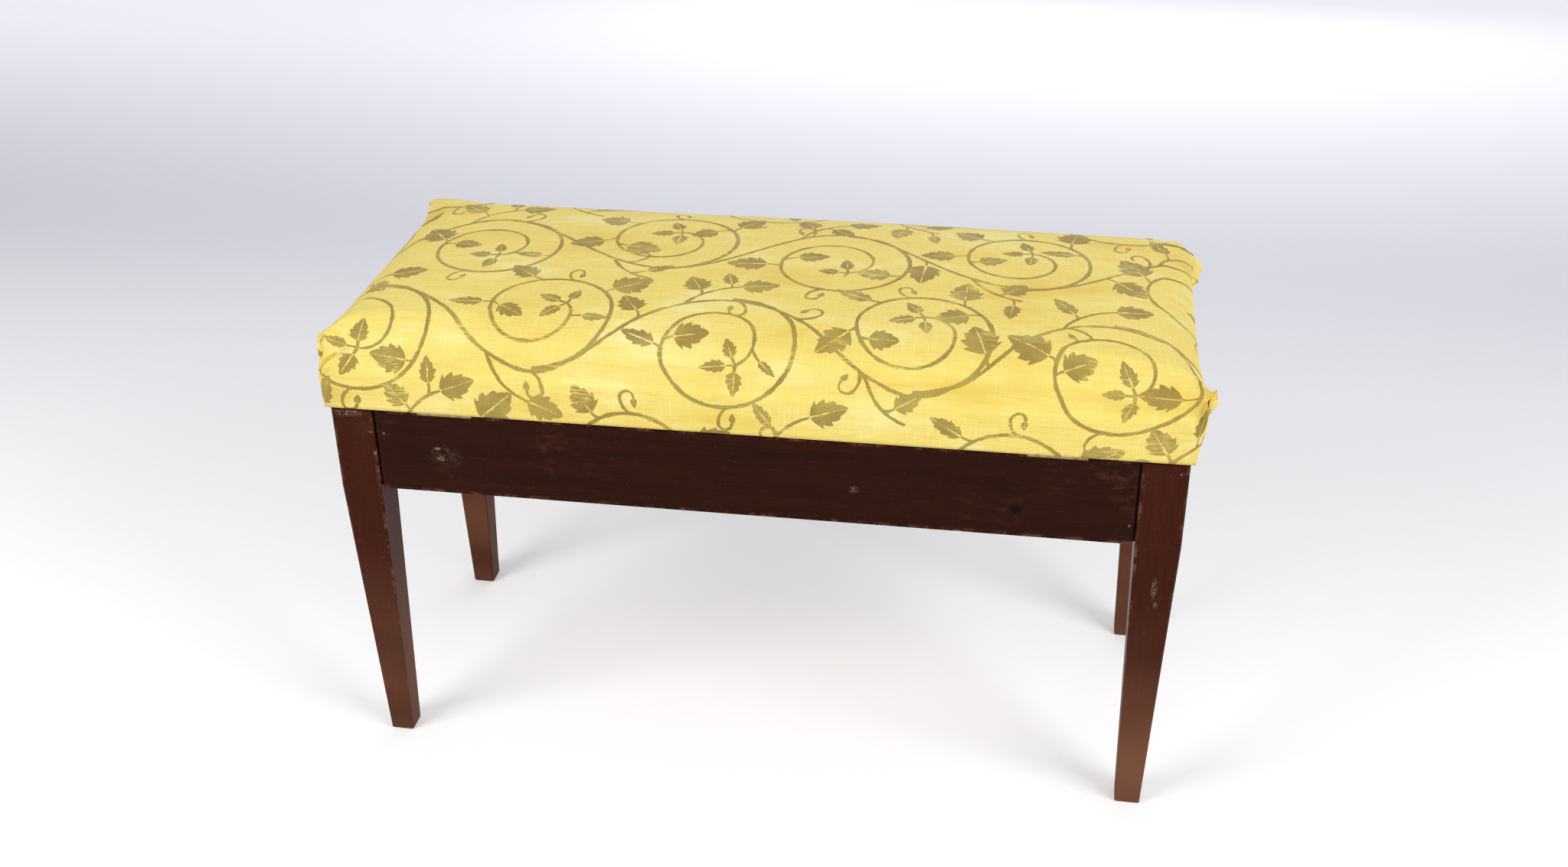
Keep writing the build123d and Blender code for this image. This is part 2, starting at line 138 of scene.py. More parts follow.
class StoolSeatSettings(bpy.types.PropertyGroup):
    """Sizes of the padded seat and its cloth; the fullest lines are measured up from the lower edge."""
    front_edge: metres("Front edge", "Height of the front's fullest line", 0.068, 0.03, 0.1)
    back_edge: metres("Back edge", "Height of the back's fullest line", 0.082, 0.03, 0.1)
    end_edge: metres("End edge", "Height of each end's fullest line", 0.076, 0.03, 0.1)
    front_roll: metres("Front roll", "How far the rounded edge reaches in from the front", 0.048, 0.01, 0.08)
    back_roll: metres("Back roll", "How far the rounded edge reaches in from the back", 0.034, 0.01, 0.08)
    end_roll: metres("End roll", "How far the rounded edge reaches in from an end", 0.046, 0.01, 0.1)
    lean_right: metres("Lean right", "How far the right end stands out past the left", 0.0065, 0.0, 0.02)
    crown: metres("Crown", "Rise of the top from its rounded edge to its middle", 0.008, 0.0, 0.03)
    draw_in: metres("Draw in", "How far each side pulls in between its corners", 0.009, 0.0, 0.02)
    slack_right: metres("Slack right end", "How much lower the worn right end lies", 0.009, 0.0, 0.03)
    hem: metres("Hem", "Width of cloth turned under the lid", 0.04, 0.01, 0.06)
    cloth_thickness: metres("Cloth thickness", "Thickness of the cover cloth", 0.0012, 0.0005, 0.003)
    columns: whole("Columns", "Divisions of the cloth along the seat", 236, 40, 300)
    rows: whole("Rows", "Divisions of the cloth across the seat", 110, 20, 160)
    side_rows: whole("Side rows", "Divisions of the cloth down each side", 20, 6, 40)
    print_seed: whole("Print seed", "Start of the print's chance turns and sizes", 11, 0, 9999)


class StoolFinishSettings(bpy.types.PropertyGroup):
    """Colours of the stool's finishes."""
    wood_dark: tint("Wood dark", "Dark grain of the stained mahogany", (0.014, 0.0030, 0.0012))
    wood_rail: tint("Wood of rails", "Red-brown grain of the rails", (0.035, 0.0068, 0.0025))
    wood_leg: tint("Wood of legs", "Red-brown grain of the legs", (0.062, 0.0118, 0.0044))
    # Also the tone of the painted highlight on the leg corners and of the painted reflection of the floor on
    # the lower legs
    wood_worn_and_sheen: tint("Wood worn", "Mahogany where its finish has rubbed thin", (0.20, 0.082, 0.046))
    cloth: tint("Cloth", "Yellow ground of the cover", (0.88, 0.70, 0.165))
    cloth_gold: tint("Cloth gold", "Deeper slub threads of the cover", (0.80, 0.55, 0.075))
    cloth_pale: tint("Cloth pale", "Pale slub threads of the cover", (0.93, 0.85, 0.36))
    print_olive: tint("Print", "Khaki of the printed vine", (0.265, 0.170, 0.024))
    brass: tint("Brass", "Clean metal of the hinges", (0.46, 0.35, 0.15))
    pine: tint("Pine", "Raw softwood inside the stool", (0.50, 0.30, 0.13))


class StoolStageSettings(bpy.types.PropertyGroup):
    """Camera, lamps and floor."""
    camera_place: FloatVectorProperty(
        name="Camera place", description="Where the camera stands",
        default=(0.30402, -1.76945, 1.31926), subtype="TRANSLATION", unit="LENGTH")
    camera_dip: radians("Camera dip", "How far the camera looks down", 0.5176)
    camera_turn: radians("Camera turn", "How far the camera turns to its left", 0.2152)
    camera_roll: radians("Camera roll", "How far the camera leans", -0.0363)
    lens: FloatProperty(
        name="Lens", description="Focal length on a 36 mm sensor, in millimetres", default=40.829, min=10.0)
    shift: FloatVectorProperty(
        name="Shift", description="Sideways and upward shift of the frame", size=2, default=(0.0517, 0.0226))
    lamp_power: FloatProperty(
        name="Lamp power", description="Power of the two front lamps", default=52.0, min=0.0, unit="POWER")
    floor: tint("Floor", "Colour of the floor", (0.80, 0.80, 0.805))
    backdrop: tint("Backdrop", "Colour far behind the stool", (0.555, 0.550, 0.600))


# Shader helpers

def give(tree, node, inputs):
    """Gives each named input of a node a value or a link."""
    for name, value in inputs.items():
        if isinstance(value, bpy.types.NodeSocket):
            tree.links.new(value, node.inputs[name])
        else:
            node.inputs[name].default_value = value


def put(tree, kind, inputs=None, **fields):
    """Adds a node and sets its fields and its named inputs."""
    made = tree.nodes.new(kind)
    for name, value in fields.items():
        setattr(made, name, value)
    give(tree, made, inputs or {})
    return made


def calc(tree, operation, first, second=0.0, clamp=False):
    """Result of one step of arithmetic on two values."""
    inputs = {0: first, 1: second}
    return put(tree, "ShaderNodeMath", inputs, operation=operation, use_clamp=clamp).outputs[0]


def times(tree, first, second):
    """Product of two values."""
    return calc(tree, "MULTIPLY", first, second)


def plus(tree, first, second, clamp=False):
    """Sum of two values, kept from 0 to 1 where clamp is set."""
    return calc(tree, "ADD", first, second, clamp)


def less(tree, first, second):
    """First value less the second."""
    return calc(tree, "SUBTRACT", first, second)


def lift(tree, base, value, share):
    """Base value raised by a share of another."""
    return plus(tree, base, times(tree, value, share))


def axes(tree, vector):
    """X, Y and Z of a place."""
    return put(tree, "ShaderNodeSeparateXYZ", {0: vector}).outputs


def vectors(tree, operation, first, second):
    """Result of one step of arithmetic on two places."""
    return put(tree, "ShaderNodeVectorMath", {0: first, 1: second}, operation=operation).outputs[0]


def blend(tree, share, below, above):
    """Colour that goes from below to above by share."""
    return put(tree, "ShaderNodeMix", {0: share, 6: below, 7: above}, data_type="RGBA").outputs[2]


def tinge(tree, base, mask, strength, tone):
    """Colour base, turned towards tone under a mask of some strength."""
    return blend(tree, times(tree, mask, strength), base, tone)


def fade(tree, value, start, end):
    """Mask that rises from 0 where value is start to 1 where it is end."""
    made = put(tree, "ShaderNodeMapRange", {"Value": value, "From Min": start, "From Max": end},
               interpolation_type="SMOOTHSTEP")
    return made.outputs[0]


def ramp(tree, value, **limits):
    """Value carried straight from its limits to others, named with underscores."""
    inputs = {name.replace("_", " ").title(): limit for name, limit in limits.items()}
    return put(tree, "ShaderNodeMapRange", {"Value": value, **inputs}).outputs[0]


def noise(tree, vector, scale, detail=3.0, roughness=0.55):
    """Cloudy value from 0 to 1."""
    inputs = {"Vector": vector, "Scale": scale, "Detail": detail, "Roughness": roughness}
    return put(tree, "ShaderNodeTexNoise", inputs).outputs["Fac"]


def stretch(tree, vector, scale, turn=(0.0, 0.0, 0.0)):
    """Place with its axes turned and then scaled."""
    turned = put(tree, "ShaderNodeMapping", {"Vector": vector, "Rotation": turn}).outputs[0]
    return put(tree, "ShaderNodeMapping", {"Vector": turned, "Scale": scale}).outputs[0]


def bump(tree, height, distance, strength):
    """Surface direction after a height in the texture."""
    inputs = {"Height": height, "Distance": distance, "Strength": strength}
    return put(tree, "ShaderNodeBump", inputs).outputs[0]


def colour(value):
    """Colour setting with full alpha."""
    return (*value, 1.0)


def new_finish(name):
    """Empty finish: the material, its tree, its surface shader and the object place."""
    made = bpy.data.materials.new(name)
    made.use_nodes = True
    tree = made.node_tree
    place = put(tree, "ShaderNodeTexCoord").outputs["Object"]
    return made, tree, tree.nodes["Principled BSDF"], place


def feed(tree, shader, **sources):
    """Gives the shader its inputs, with the spaces of their names as underscores."""
    give(tree, shader, {name.replace("_", " "): value for name, value in sources.items()})


def open_group(name, takes, gives):
    """New shader group: its tree, what it takes by name, and what it gives by name."""
    tree = bpy.data.node_groups.new(name, "ShaderNodeTree")
    for label, kind in takes:
        tree.interface.new_socket(label, in_out="INPUT", socket_type=kind)
    for label in gives:
        tree.interface.new_socket(label, in_out="OUTPUT", socket_type="NodeSocketFloat")
    return tree, tree.nodes.new("NodeGroupInput").outputs, tree.nodes.new("NodeGroupOutput").inputs


def use_group(tree, name, inputs):
    """Places a shader group in a material."""
    return put(tree, "ShaderNodeGroup", inputs, node_tree=bpy.data.node_groups[name]).outputs


def straight_sight(tree):
    """1 for what is seen straight on, in a reflection or through glass, and 0 for spread light."""
    path = put(tree, "ShaderNodeLightPath").outputs
    seen = plus(tree, path["Is Camera Ray"], path["Is Glossy Ray"])
    return plus(tree, seen, path["Is Transmission Ray"], clamp=True)


# Shared effects

def make_grain_group():
    """Long grain that runs along X: broad streaks, and fine pores."""
    tree, takes, gives = open_group("Long grain", [("Place", "NodeSocketVector")], ["Streaks", "Pores"])
    broad = noise(tree, stretch(tree, takes["Place"], (3.0, 60.0, 60.0)), 1.0, 5.0, 0.6)
    fine = noise(tree, stretch(tree, takes["Place"], (9.0, 420.0, 420.0)), 1.0, 3.0, 0.6)
    mixed = plus(tree, times(tree, broad, 0.52), times(tree, fine, 0.48))
    tree.links.new(fade(tree, mixed, 0.18, 0.80), gives["Streaks"])
    pores = noise(tree, stretch(tree, takes["Place"], (45.0, 1100.0, 1100.0)), 1.0, 1.0, 0.5)
    tree.links.new(fade(tree, pores, 0.62, 0.72), gives["Pores"])


def make_wear_group():
    """Small pale specks, and broad rubbed scuffs."""
    takes = [("Place", "NodeSocketVector")]
    tree, takes, gives = open_group("Specks and scuffs", takes, ["Specks", "Scuffs"])
    spots = noise(tree, takes["Place"], 300.0, 2.0, 0.6)
    tree.links.new(fade(tree, spots, 0.68, 0.76), gives["Specks"])
    patches = fade(tree, noise(tree, takes["Place"], 9.0, 3.0, 0.6), 0.52, 0.72)
    strokes = noise(tree, stretch(tree, takes["Place"], (60.0, 130.0, 130.0)), 1.0, 4.0, 0.7)
    tree.links.new(times(tree, patches, fade(tree, strokes, 0.48, 0.64)), gives["Scuffs"])


def make_weave_group():
    """Plain weave: raised threads, and long slubs both ways."""
    takes = [("Place", "NodeSocketVector"), ("Threads", "NodeSocketFloat")]
    tree, takes, gives = open_group("Plain weave", takes, ["Height", "Slub along", "Slub across"])
    split = axes(tree, takes["Place"])
    turns = times(tree, takes["Threads"], pi)
    along = calc(tree, "SINE", times(tree, split["X"], turns))
    across = calc(tree, "SINE", times(tree, split["Y"], turns))
    tree.links.new(calc(tree, "ABSOLUTE", times(tree, along, across)), gives["Height"])
    slub_along = noise(tree, stretch(tree, takes["Place"], (24.0, 420.0, 420.0)), 1.0, 3.0, 0.65)
    slub_across = noise(tree, stretch(tree, takes["Place"], (420.0, 30.0, 420.0)), 1.0, 3.0, 0.65)
    tree.links.new(slub_along, gives["Slub along"])
    tree.links.new(slub_across, gives["Slub across"])


# Finishes

def spot(tree, place, middle, half, speckle=0.0):
    """Mask of a soft oval on the stool, broken up by a grain of its own where speckle is not 0."""
    scaled = vectors(tree, "DIVIDE", vectors(tree, "SUBTRACT", place, middle), half)
    away = put(tree, "ShaderNodeVectorMath", {0: scaled}, operation="LENGTH").outputs["Value"]
    mask = fade(tree, away, 1.0, 0.35)
    if speckle:
        mask = times(tree, mask, fade(tree, noise(tree, place, speckle, 4.0, 0.7), 0.46, 0.58))
    return mask


def leg_arrises(tree, place):
    """Mask of the four long corners of each tapered leg."""
    split = axes(tree, place)
    share = ramp(tree, split["Z"], from_max=RAIL_LOW[2])
    half = ramp(tree, share, to_min=0.0135, to_max=0.023)
    offsets = []
    for axis, foot, top in (("X", 0.425, 0.427), ("Y", 0.163, 0.165)):
        middle = ramp(tree, share, to_min=foot, to_max=top)
        away = less(tree, calc(tree, "ABSOLUTE", split[axis]), middle)
        offsets.append(calc(tree, "DIVIDE", calc(tree, "ABSOLUTE", away), half))
    return fade(tree, calc(tree, "MINIMUM", *offsets), 0.80, 0.97)


def rail_arrises(tree, place):
    """Mask of the upper and lower edges of the rails."""
    height = axes(tree, place)["Z"]
    low = fade(tree, height, RAIL_LOW[2] + 0.006, RAIL_LOW[2])
    high = fade(tree, height, RAIL_HIGH[2] - 0.004, RAIL_HIGH[2])
    return calc(tree, "MAXIMUM", low, high)


def mahogany(name, dark, red, worn_and_sheen_tone, turn, arrises, marks=()):
    """Dark stained mahogany under old gloss varnish, worn at its corners, with painted sheen: a highlight on
    the leg corners and the bright floor's reflection on the lower legs.
    """
    made, tree, shader, place = new_finish(name)
    swirl = times(tree, spot(tree, place, RAIL_KNOT, (0.075, 0.03, 0.034)), 0.012)
    bent = vectors(tree, "ADD", place, put(tree, "ShaderNodeCombineXYZ", {"Z": swirl}).outputs[0])
    grain = use_group(tree, "Long grain", {"Place": stretch(tree, bent, (1.0, 1.0, 1.0), turn)})
    wear = use_group(tree, "Specks and scuffs", {"Place": place})
    cloud = noise(tree, place, 6.0, 2.0)
    # Painted reflection of the bright floor: the legs lighten towards it, in patches
    low = times(tree, fade(tree, axes(tree, place)["Z"], 0.30, 0.03), 0.95)
    rough_edge = fade(tree, noise(tree, place, 55.0, 4.0, 0.7), 0.46, 0.66)
    # Corners: real wear, and on the legs also a painted highlight along the arrises
    rubbed_and_highlit = times(tree, arrises(tree, place), rough_edge)
    painted_floor_reflection = times(tree, low, fade(tree, cloud, 0.15, 0.70))
    # The lighter tone takes the worn corners and scuffs, the painted highlight and the painted floor
    # reflection
    worn = calc(tree, "MAXIMUM", times(tree, rubbed_and_highlit, 0.75), painted_floor_reflection)
    worn = calc(tree, "MAXIMUM", worn, times(tree, wear["Scuffs"], 0.16))
    base = blend(tree, grain["Streaks"], colour(dark), colour(red))
    base = tinge(tree, base, grain["Pores"], 0.6, colour(dark))
    base = blend(tree, worn, base, colour(worn_and_sheen_tone))
    base = tinge(tree, base, wear["Specks"], lift(tree, 0.10, rubbed_and_highlit, 0.8), PALE_SPECK)
    for middle, half, speckle, tone, strength in marks:
        base = tinge(tree, base, spot(tree, place, middle, half, speckle), strength, tone)
    dull = lift(tree, lift(tree, 0.26, cloud, 0.16), worn, 0.25)
    relief = less(tree, times(tree, grain["Streaks"], 0.3), grain["Pores"])
    feed(tree, shader, Base_Color=base, Roughness=dull, Normal=bump(tree, relief, 0.0002, 0.25))
    feed(tree, shader, Specular_IOR_Level=0.055)
    return made


def softwood(name, tone, turn):
    """Raw planed softwood with brown rings."""
    made, tree, shader, place = new_finish(name)
    grain = use_group(tree, "Long grain", {"Place": stretch(tree, place, (1.0, 1.0, 1.0), turn)})
    dust = noise(tree, place, 14.0, 4.0, 0.65)
    dark = (tone[0] * 0.62, tone[1] * 0.52, tone[2] * 0.42, 1.0)
    base = blend(tree, grain["Streaks"], colour(tone), dark)
    base = tinge(tree, base, fade(tree, dust, 0.5, 0.8), 0.5, OLD_DUST)
    relief = less(tree, grain["Streaks"], grain["Pores"])
    dull = lift(tree, 0.6, dust, 0.25)
    feed(tree, shader, Base_Color=base, Roughness=dull, Normal=bump(tree, relief, 0.0003, 0.3))
    return made


def tarnished_metal(name, tone, tarnish, dullness):
    """Metal gone dull and patchy with age."""
    made, tree, shader, place = new_finish(name)
    wear = use_group(tree, "Specks and scuffs", {"Place": place})
    patches = fade(tree, noise(tree, place, 130.0, 5.0, 0.7), 0.35, 0.7)
    base = blend(tree, patches, colour(tone), colour(tarnish))
    base = tinge(tree, base, wear["Specks"], 0.5, METAL_SPECK)
    dull = lift(tree, dullness, patches, 0.28)
    feed(tree, shader, Base_Color=base, Roughness=dull, Normal=bump(tree, patches, 0.0001, 0.2))
    feed(tree, shader, Metallic=1.0)
    return made


def matted(name, tangle, dark, pale, dullness, relief, sheen=0.0):
    """Matted fibres, as of pressed felt or wadding."""
    made, tree, shader, place = new_finish(name)
    fibres = noise(tree, place, *tangle)
    base = blend(tree, fibres, colour(dark), colour(pale))
    dull = lift(tree, dullness, fibres, 1.0 - dullness)
    feed(tree, shader, Base_Color=base, Roughness=dull, Normal=bump(tree, fibres, *relief))
    feed(tree, shader, Sheen_Weight=sheen)
    return made


def lining_cotton(name):
    """Black plain-weave cotton under the lid."""
    made, tree, shader, place = new_finish(name)
    weave = use_group(tree, "Plain weave", {"Place": place, "Threads": 1100.0})
    faded = noise(tree, place, 7.0, 4.0, 0.6)
    base = blend(tree, weave["Slub along"], (0.010, 0.010, 0.011, 1.0), (0.030, 0.028, 0.028, 1.0))
    base = tinge(tree, base, fade(tree, faded, 0.45, 0.8), 0.5, (0.055, 0.05, 0.047, 1.0))
    relief = bump(tree, weave["Height"], 0.0003, 0.5)
    feed(tree, shader, Base_Color=base, Roughness=lift(tree, 0.8, faded, 0.15), Normal=relief)
    feed(tree, shader, Sheen_Weight=0.2)
    return made


def stem_edge(tree, stem):
    """How far outside a printed stem the cloth is."""
    parts = axes(tree, put(tree, "ShaderNodeAttribute", attribute_name=stem).outputs["Vector"])
    away = less(tree, calc(tree, "ABSOLUTE", parts["X"]), parts["Z"])
    return calc(tree, "MAXIMUM", away, parts["Y"])


def leaf_edge(tree):
    """How far outside the nearest printed leaf the cloth is: toothed sides, and a bare midrib."""
    parts = axes(tree, put(tree, "ShaderNodeAttribute", attribute_name="leaf_place").outputs["Vector"])
    run = plus(tree, parts["X"], 0.0, clamp=True)
    swell = calc(tree, "SINE", times(tree, calc(tree, "POWER", run, 0.66), pi))
    swell = calc(tree, "POWER", calc(tree, "MAXIMUM", swell, 0.0), 0.8)
    tooth = calc(tree, "FRACT", times(tree, run, 4.0))
    half = times(tree, lift(tree, 0.13, parts["Z"], 0.30), swell)
    half = times(tree, half, lift(tree, 0.82, tooth, 0.34))
    beside = calc(tree, "ABSOLUTE", parts["Y"])
    past = less(tree, calc(tree, "ABSOLUTE", less(tree, parts["X"], 0.5)), 0.5)
    edge = calc(tree, "MAXIMUM", less(tree, beside, half), past)
    rib = less(tree, times(tree, less(tree, 0.85, run), 0.020), beside)
    return times(tree, calc(tree, "MAXIMUM", edge, rib), LEAF_LENGTH)


def printed_cloth(name, finish):
    """Yellow slub cloth, block-printed with a khaki vine that is dry and ragged in places."""
    made, tree, shader, place = new_finish(name)
    flat = put(tree, "ShaderNodeUVMap", uv_map="cloth").outputs[0]
    weave = use_group(tree, "Plain weave", {"Place": flat, "Threads": 820.0})
    gold, pale = colour(finish.cloth_gold), colour(finish.cloth_pale)
    clouds = noise(tree, stretch(tree, flat, (5.0, 13.0, 1.0)), 1.0, 4.0, 0.6)
    base = colour(finish.cloth)
    base = tinge(tree, base, fade(tree, weave["Slub along"], 0.46, 0.72), 0.60, gold)
    base = tinge(tree, base, fade(tree, weave["Slub across"], 0.48, 0.70), 0.32, pale)
    base = tinge(tree, base, fade(tree, clouds, 0.50, 0.70), 0.75, gold)
    base = tinge(tree, base, fade(tree, clouds, 0.48, 0.30), 0.75, pale)
    # Painted shade: deeper gold on the lower front by the left corner
    base = tinge(tree, base, spot(tree, place, *CORNER_SHADE), 0.45, (0.66, 0.41, 0.07, 1.0))

    ragged = less(tree, noise(tree, flat, 330.0, 3.0, 0.6), 0.5)
    wobble = less(tree, noise(tree, flat, 75.0, 2.0), 0.5)
    edge = leaf_edge(tree)
    for stem in STEMS:
        edge = calc(tree, "MINIMUM", edge, stem_edge(tree, stem))
    edge = lift(tree, lift(tree, edge, ragged, 0.0018), wobble, 0.0030)
    dry = fade(tree, noise(tree, stretch(tree, flat, (55.0, 480.0, 1.0)), 1.0, 3.0, 0.7), 0.60, 0.46)
    dryness = fade(tree, noise(tree, flat, 14.0, 2.0), 0.50, 0.68)
    full, scant = (1.0, 1.0, 1.0, 1.0), (0.25, 0.25, 0.25, 1.0)
    cover = blend(tree, dryness, full, blend(tree, dry, scant, full))
    mottle = fade(tree, noise(tree, flat, 640.0, 3.0, 0.65), 0.32, 0.64)
    loaded = fade(tree, noise(tree, flat, 21.0, 2.0), 0.30, 0.66)
    cover = times(tree, cover, lift(tree, 0.60, plus(tree, mottle, loaded), 0.18))
    base = tinge(tree, base, fade(tree, edge, 0.0004, -0.0006), cover, colour(finish.print_olive))
    base = tinge(tree, base, spot(tree, place, *DARK_FLECK), 0.8, (0.06, 0.04, 0.02, 1.0))

    relief = lift(tree, weave["Height"], weave["Slub along"], 1.6)
    dull = lift(tree, 0.62, weave["Slub along"], 0.22)
    feed(tree, shader, Base_Color=base, Roughness=dull, Normal=bump(tree, relief, 0.0005, 0.35))
    feed(tree, shader, Sheen_Weight=0.06, Sheen_Roughness=0.4)
    return made


# Mesh helpers

def new_piece(name, mesh, body, material):
    """Object at the origin that rides on a body and takes its finish from a slot."""
    piece = bpy.data.objects.new(name, mesh)
    bpy.context.scene.collection.objects.link(piece)
    mesh.materials.clear()
    mesh.materials.append(material)
    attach(piece, body)
    return piece


def clothe(nodes, material):
    """Gives a finish to CAD nodes."""
    for node in nodes:
        piece = bpy.data.objects[node]
        piece.data.materials.clear()
        piece.data.materials.append(material)


def mesh_from(form, name):
    """Mesh of a finished bmesh, shaded smooth."""
    mesh = bpy.data.meshes.new(name)
    form.to_mesh(mesh)
    form.free()
    mesh.polygons.foreach_set("use_smooth", [True] * len(mesh.polygons))
    return mesh


def read(items, field, width=1, kind=float):
    """Values of a field of all of a mesh's points, faces or corners, in rows of a width."""
    values = np.empty(len(items) * width, dtype=kind)
    items.foreach_get(field, values)
    return values.reshape(-1, width) if width > 1 else values


def read_points(mesh):
    """Places of a mesh's points."""
    return read(mesh.vertices, "co", 3)


def write_points(mesh, points):
    """Moves a mesh's points."""
    mesh.vertices.foreach_set("co", points.astype(np.float32).ravel())
    mesh.update()


def new_points(made):
    """Points that a mesh operator has made."""
    return [item for item in made["geom"] if isinstance(item, bmesh.types.BMVert)]


def thicken(piece, thickness, offset):
    """Gives a sheet its thickness."""
    wall = piece.modifiers.new("cloth thickness", "SOLIDIFY")
    wall.thickness = thickness
    wall.offset = offset


# Seat

MITRE = 0.010  # rounding where the top's two rolls meet
BELLY = 0.0015  # how far the sides swell between their edges
SLACK_FROM = -0.10  # where the worn end begins to lie lower
HEM_ROWS = 5
PULL_CAP = 0.004  # furthest that the cloth simulation moves a point
HELD_OVER = 0.008  # height over the board up to which the cloth is held
PAD_INSET = 0.0075  # gap from the cover's outside to the pad
PAD_CORNER, PAD_INWARD = 0.045, (0.012, 0.008)  # reach and depth of the pad's drawn-in corners
CROWDING = 0.2  # how much closer the cloth's grid lies towards its border
TACK_STEP = (0.0848, 0.081)  # distances of the lining's tacks along and across


def soft_least(first, second, reach):
    """Lesser of two heights, rounded over where they meet."""
    near = np.clip(reach - np.abs(first - second), 0.0, None) / reach
    return np.minimum(first, second) - near * near * reach / 4


class SeatForm:
    """Shape of the padded seat over its flat cloth: a top that rolls over into four sides and a hem.

    Pairs hold the left and right ends, then the front and back."""

    def __init__(self, seat, inset=0.0, bottom=COVER_LOW[2]):
        self.bottom = bottom
        self.shoulder = COVER_HIGH[2] - inset - seat.crown
        self.crown = seat.crown
        self.slack = seat.slack_right
        self.draw = seat.draw_in
        self.hem = seat.hem
        end = COVER_HIGH[0] - seat.draw_in - inset
        side = COVER_HIGH[1] - seat.draw_in - inset
        self.half = ((end, end + seat.lean_right), (side, side))
        self.base = (BOARD_HIGH[0] + 0.0013 - inset, BOARD_HIGH[1] + 0.0013 - inset)
        self.roll = ((seat.end_roll, seat.end_roll), (seat.front_roll, seat.back_roll))
        heights = ((seat.end_edge, seat.end_edge), (seat.front_edge, seat.back_edge))
        self.edge = tuple(tuple(COVER_LOW[2] + height - inset for height in pair) for pair in heights)
        self.arc, self.flat = [], []
        for half, roll, edge in zip(self.half, self.roll, self.edge):
            arc = [pi / 2 * sqrt((r * r + (self.shoulder - e) ** 2) / 2) for r, e in zip(roll, edge)]
            self.arc.append(arc)
            self.flat.append([a + h - r for a, h, r in zip(arc, half, roll)])
        self.drop = self.edge[1][0] - bottom
        self.side_end = self.drop - 1e-5

    def share(self, axis, length):
        """Flat length from the middle as a share of the top, past 1 only where the cloth is wider."""
        return np.abs(length) / np.where(length < 0.0, *self.flat[axis])

    def over_roll(self, axis, length):
        """Share of the half width, half width and height of cloth a flat length from the middle."""
        sizes = (self.half, self.roll, self.edge, self.arc, self.flat)
        half, roll, edge, arc, flat = [np.where(length < 0.0, *pairs[axis]) for pairs in sizes]
        within = flat - np.abs(length)
        turn = np.clip(within / arc, 0.0, 1.0) * pi / 2
        beyond = np.clip(within - arc, 0.0, None)
        rise = self.crown * (1 - (1 - np.clip(beyond / (half - roll), 0.0, 1.0)) ** (8, 2)[axis])
        inward = roll * (1 - np.cos(turn)) + beyond
        height = edge + (self.shoulder - edge) * np.sin(turn) + rise
        return np.sign(length) * (half - inward) / half, half, height

    def place(self, flat):
        """Places of points given by flat cloth along, across and down."""
        along, across, down = flat[:, 0], flat[:, 1], -flat[:, 2]
        turned = down > self.side_end
        share = np.where(turned, np.maximum(self.share(0, along), self.share(1, across)), 1.0)
        along, across = along / share, across / share
        part_x, half_x, up_x = self.over_roll(0, along)
        part_y, half_y, up_y = self.over_roll(1, across)
        x = part_x * (half_x + self.draw * np.abs(part_y) ** 4 * (part_x > 0))
        y = part_y * (half_y + self.draw * np.abs(part_x) ** 10)
        z = soft_least(up_x, up_y, MITRE)
        z = z - self.slack * np.clip((x - SLACK_FROM) / (half_x - SLACK_FROM), 0.0, 1.0) ** 2
        fall = np.clip(down / self.drop, 0.0, 1.0)
        ease = 1 - (1 - fall) ** 2
        belly = BELLY * np.sin(pi * fall)
        at_end, at_side = np.abs(part_x) > 0.9999, np.abs(part_y) > 0.9999
        x = x + ease * (part_x * self.base[0] - x) + belly * np.sign(part_x) * at_end
        y = y + ease * (part_y * self.base[1] - y) + belly * np.sign(part_y) * at_side
        z = self.bottom + (z - self.bottom) * (1 - fall)
        return np.column_stack((x * share, y * share, z))


def pull_border(cloth):
    """Draws a new row of faces from the cloth's border: its points."""
    border = [edge for edge in cloth.edges if edge.is_boundary]
    return new_points(bmesh.ops.extrude_edge_only(cloth, edges=border))


def fix_order(cloth):
    """Orders the cloth's points, edges and faces by place, so that the simulation gives the same each time."""
    places = (
        (cloth.verts, lambda point: point.co),
        (cloth.edges, lambda edge: edge.verts[0].co + edge.verts[1].co),
        (cloth.faces, lambda face: face.calc_center_median()),
    )
    for items, place in places:
        ordered = sorted(items, key=lambda item: tuple(place(item)))
        rank = {item: index for index, item in enumerate(ordered)}
        items.sort(key=rank.get)


def seat_cloth(form, columns, rows, side_rows, hem_rows):
    """Flat cloth: a grid for the top with its border pulled down for the sides and in for the hem."""
    cloth = bmesh.new()
    bmesh.ops.create_grid(cloth, x_segments=columns, y_segments=rows, size=1.0)
    for point in cloth.verts:
        for axis in (0, 1):
            share = point.co[axis]
            half = form.flat[axis][0 if share < 0.0 else 1]
            point.co[axis] = share * (1 + CROWDING - CROWDING * share * share) * half
    for _ in range(side_rows):
        bmesh.ops.translate(cloth, verts=pull_border(cloth), vec=(0.0, 0.0, -form.drop / side_rows))
    for row in range(hem_rows):
        before = 1 - form.hem * row / hem_rows / form.base[1]
        after = 1 - form.hem * (row + 1) / hem_rows / form.base[1]
        bmesh.ops.scale(cloth, verts=pull_border(cloth), vec=(after / before, after / before, 1.0))
    bmesh.ops.recalc_face_normals(cloth, faces=cloth.faces)
    fix_order(cloth)
    return cloth


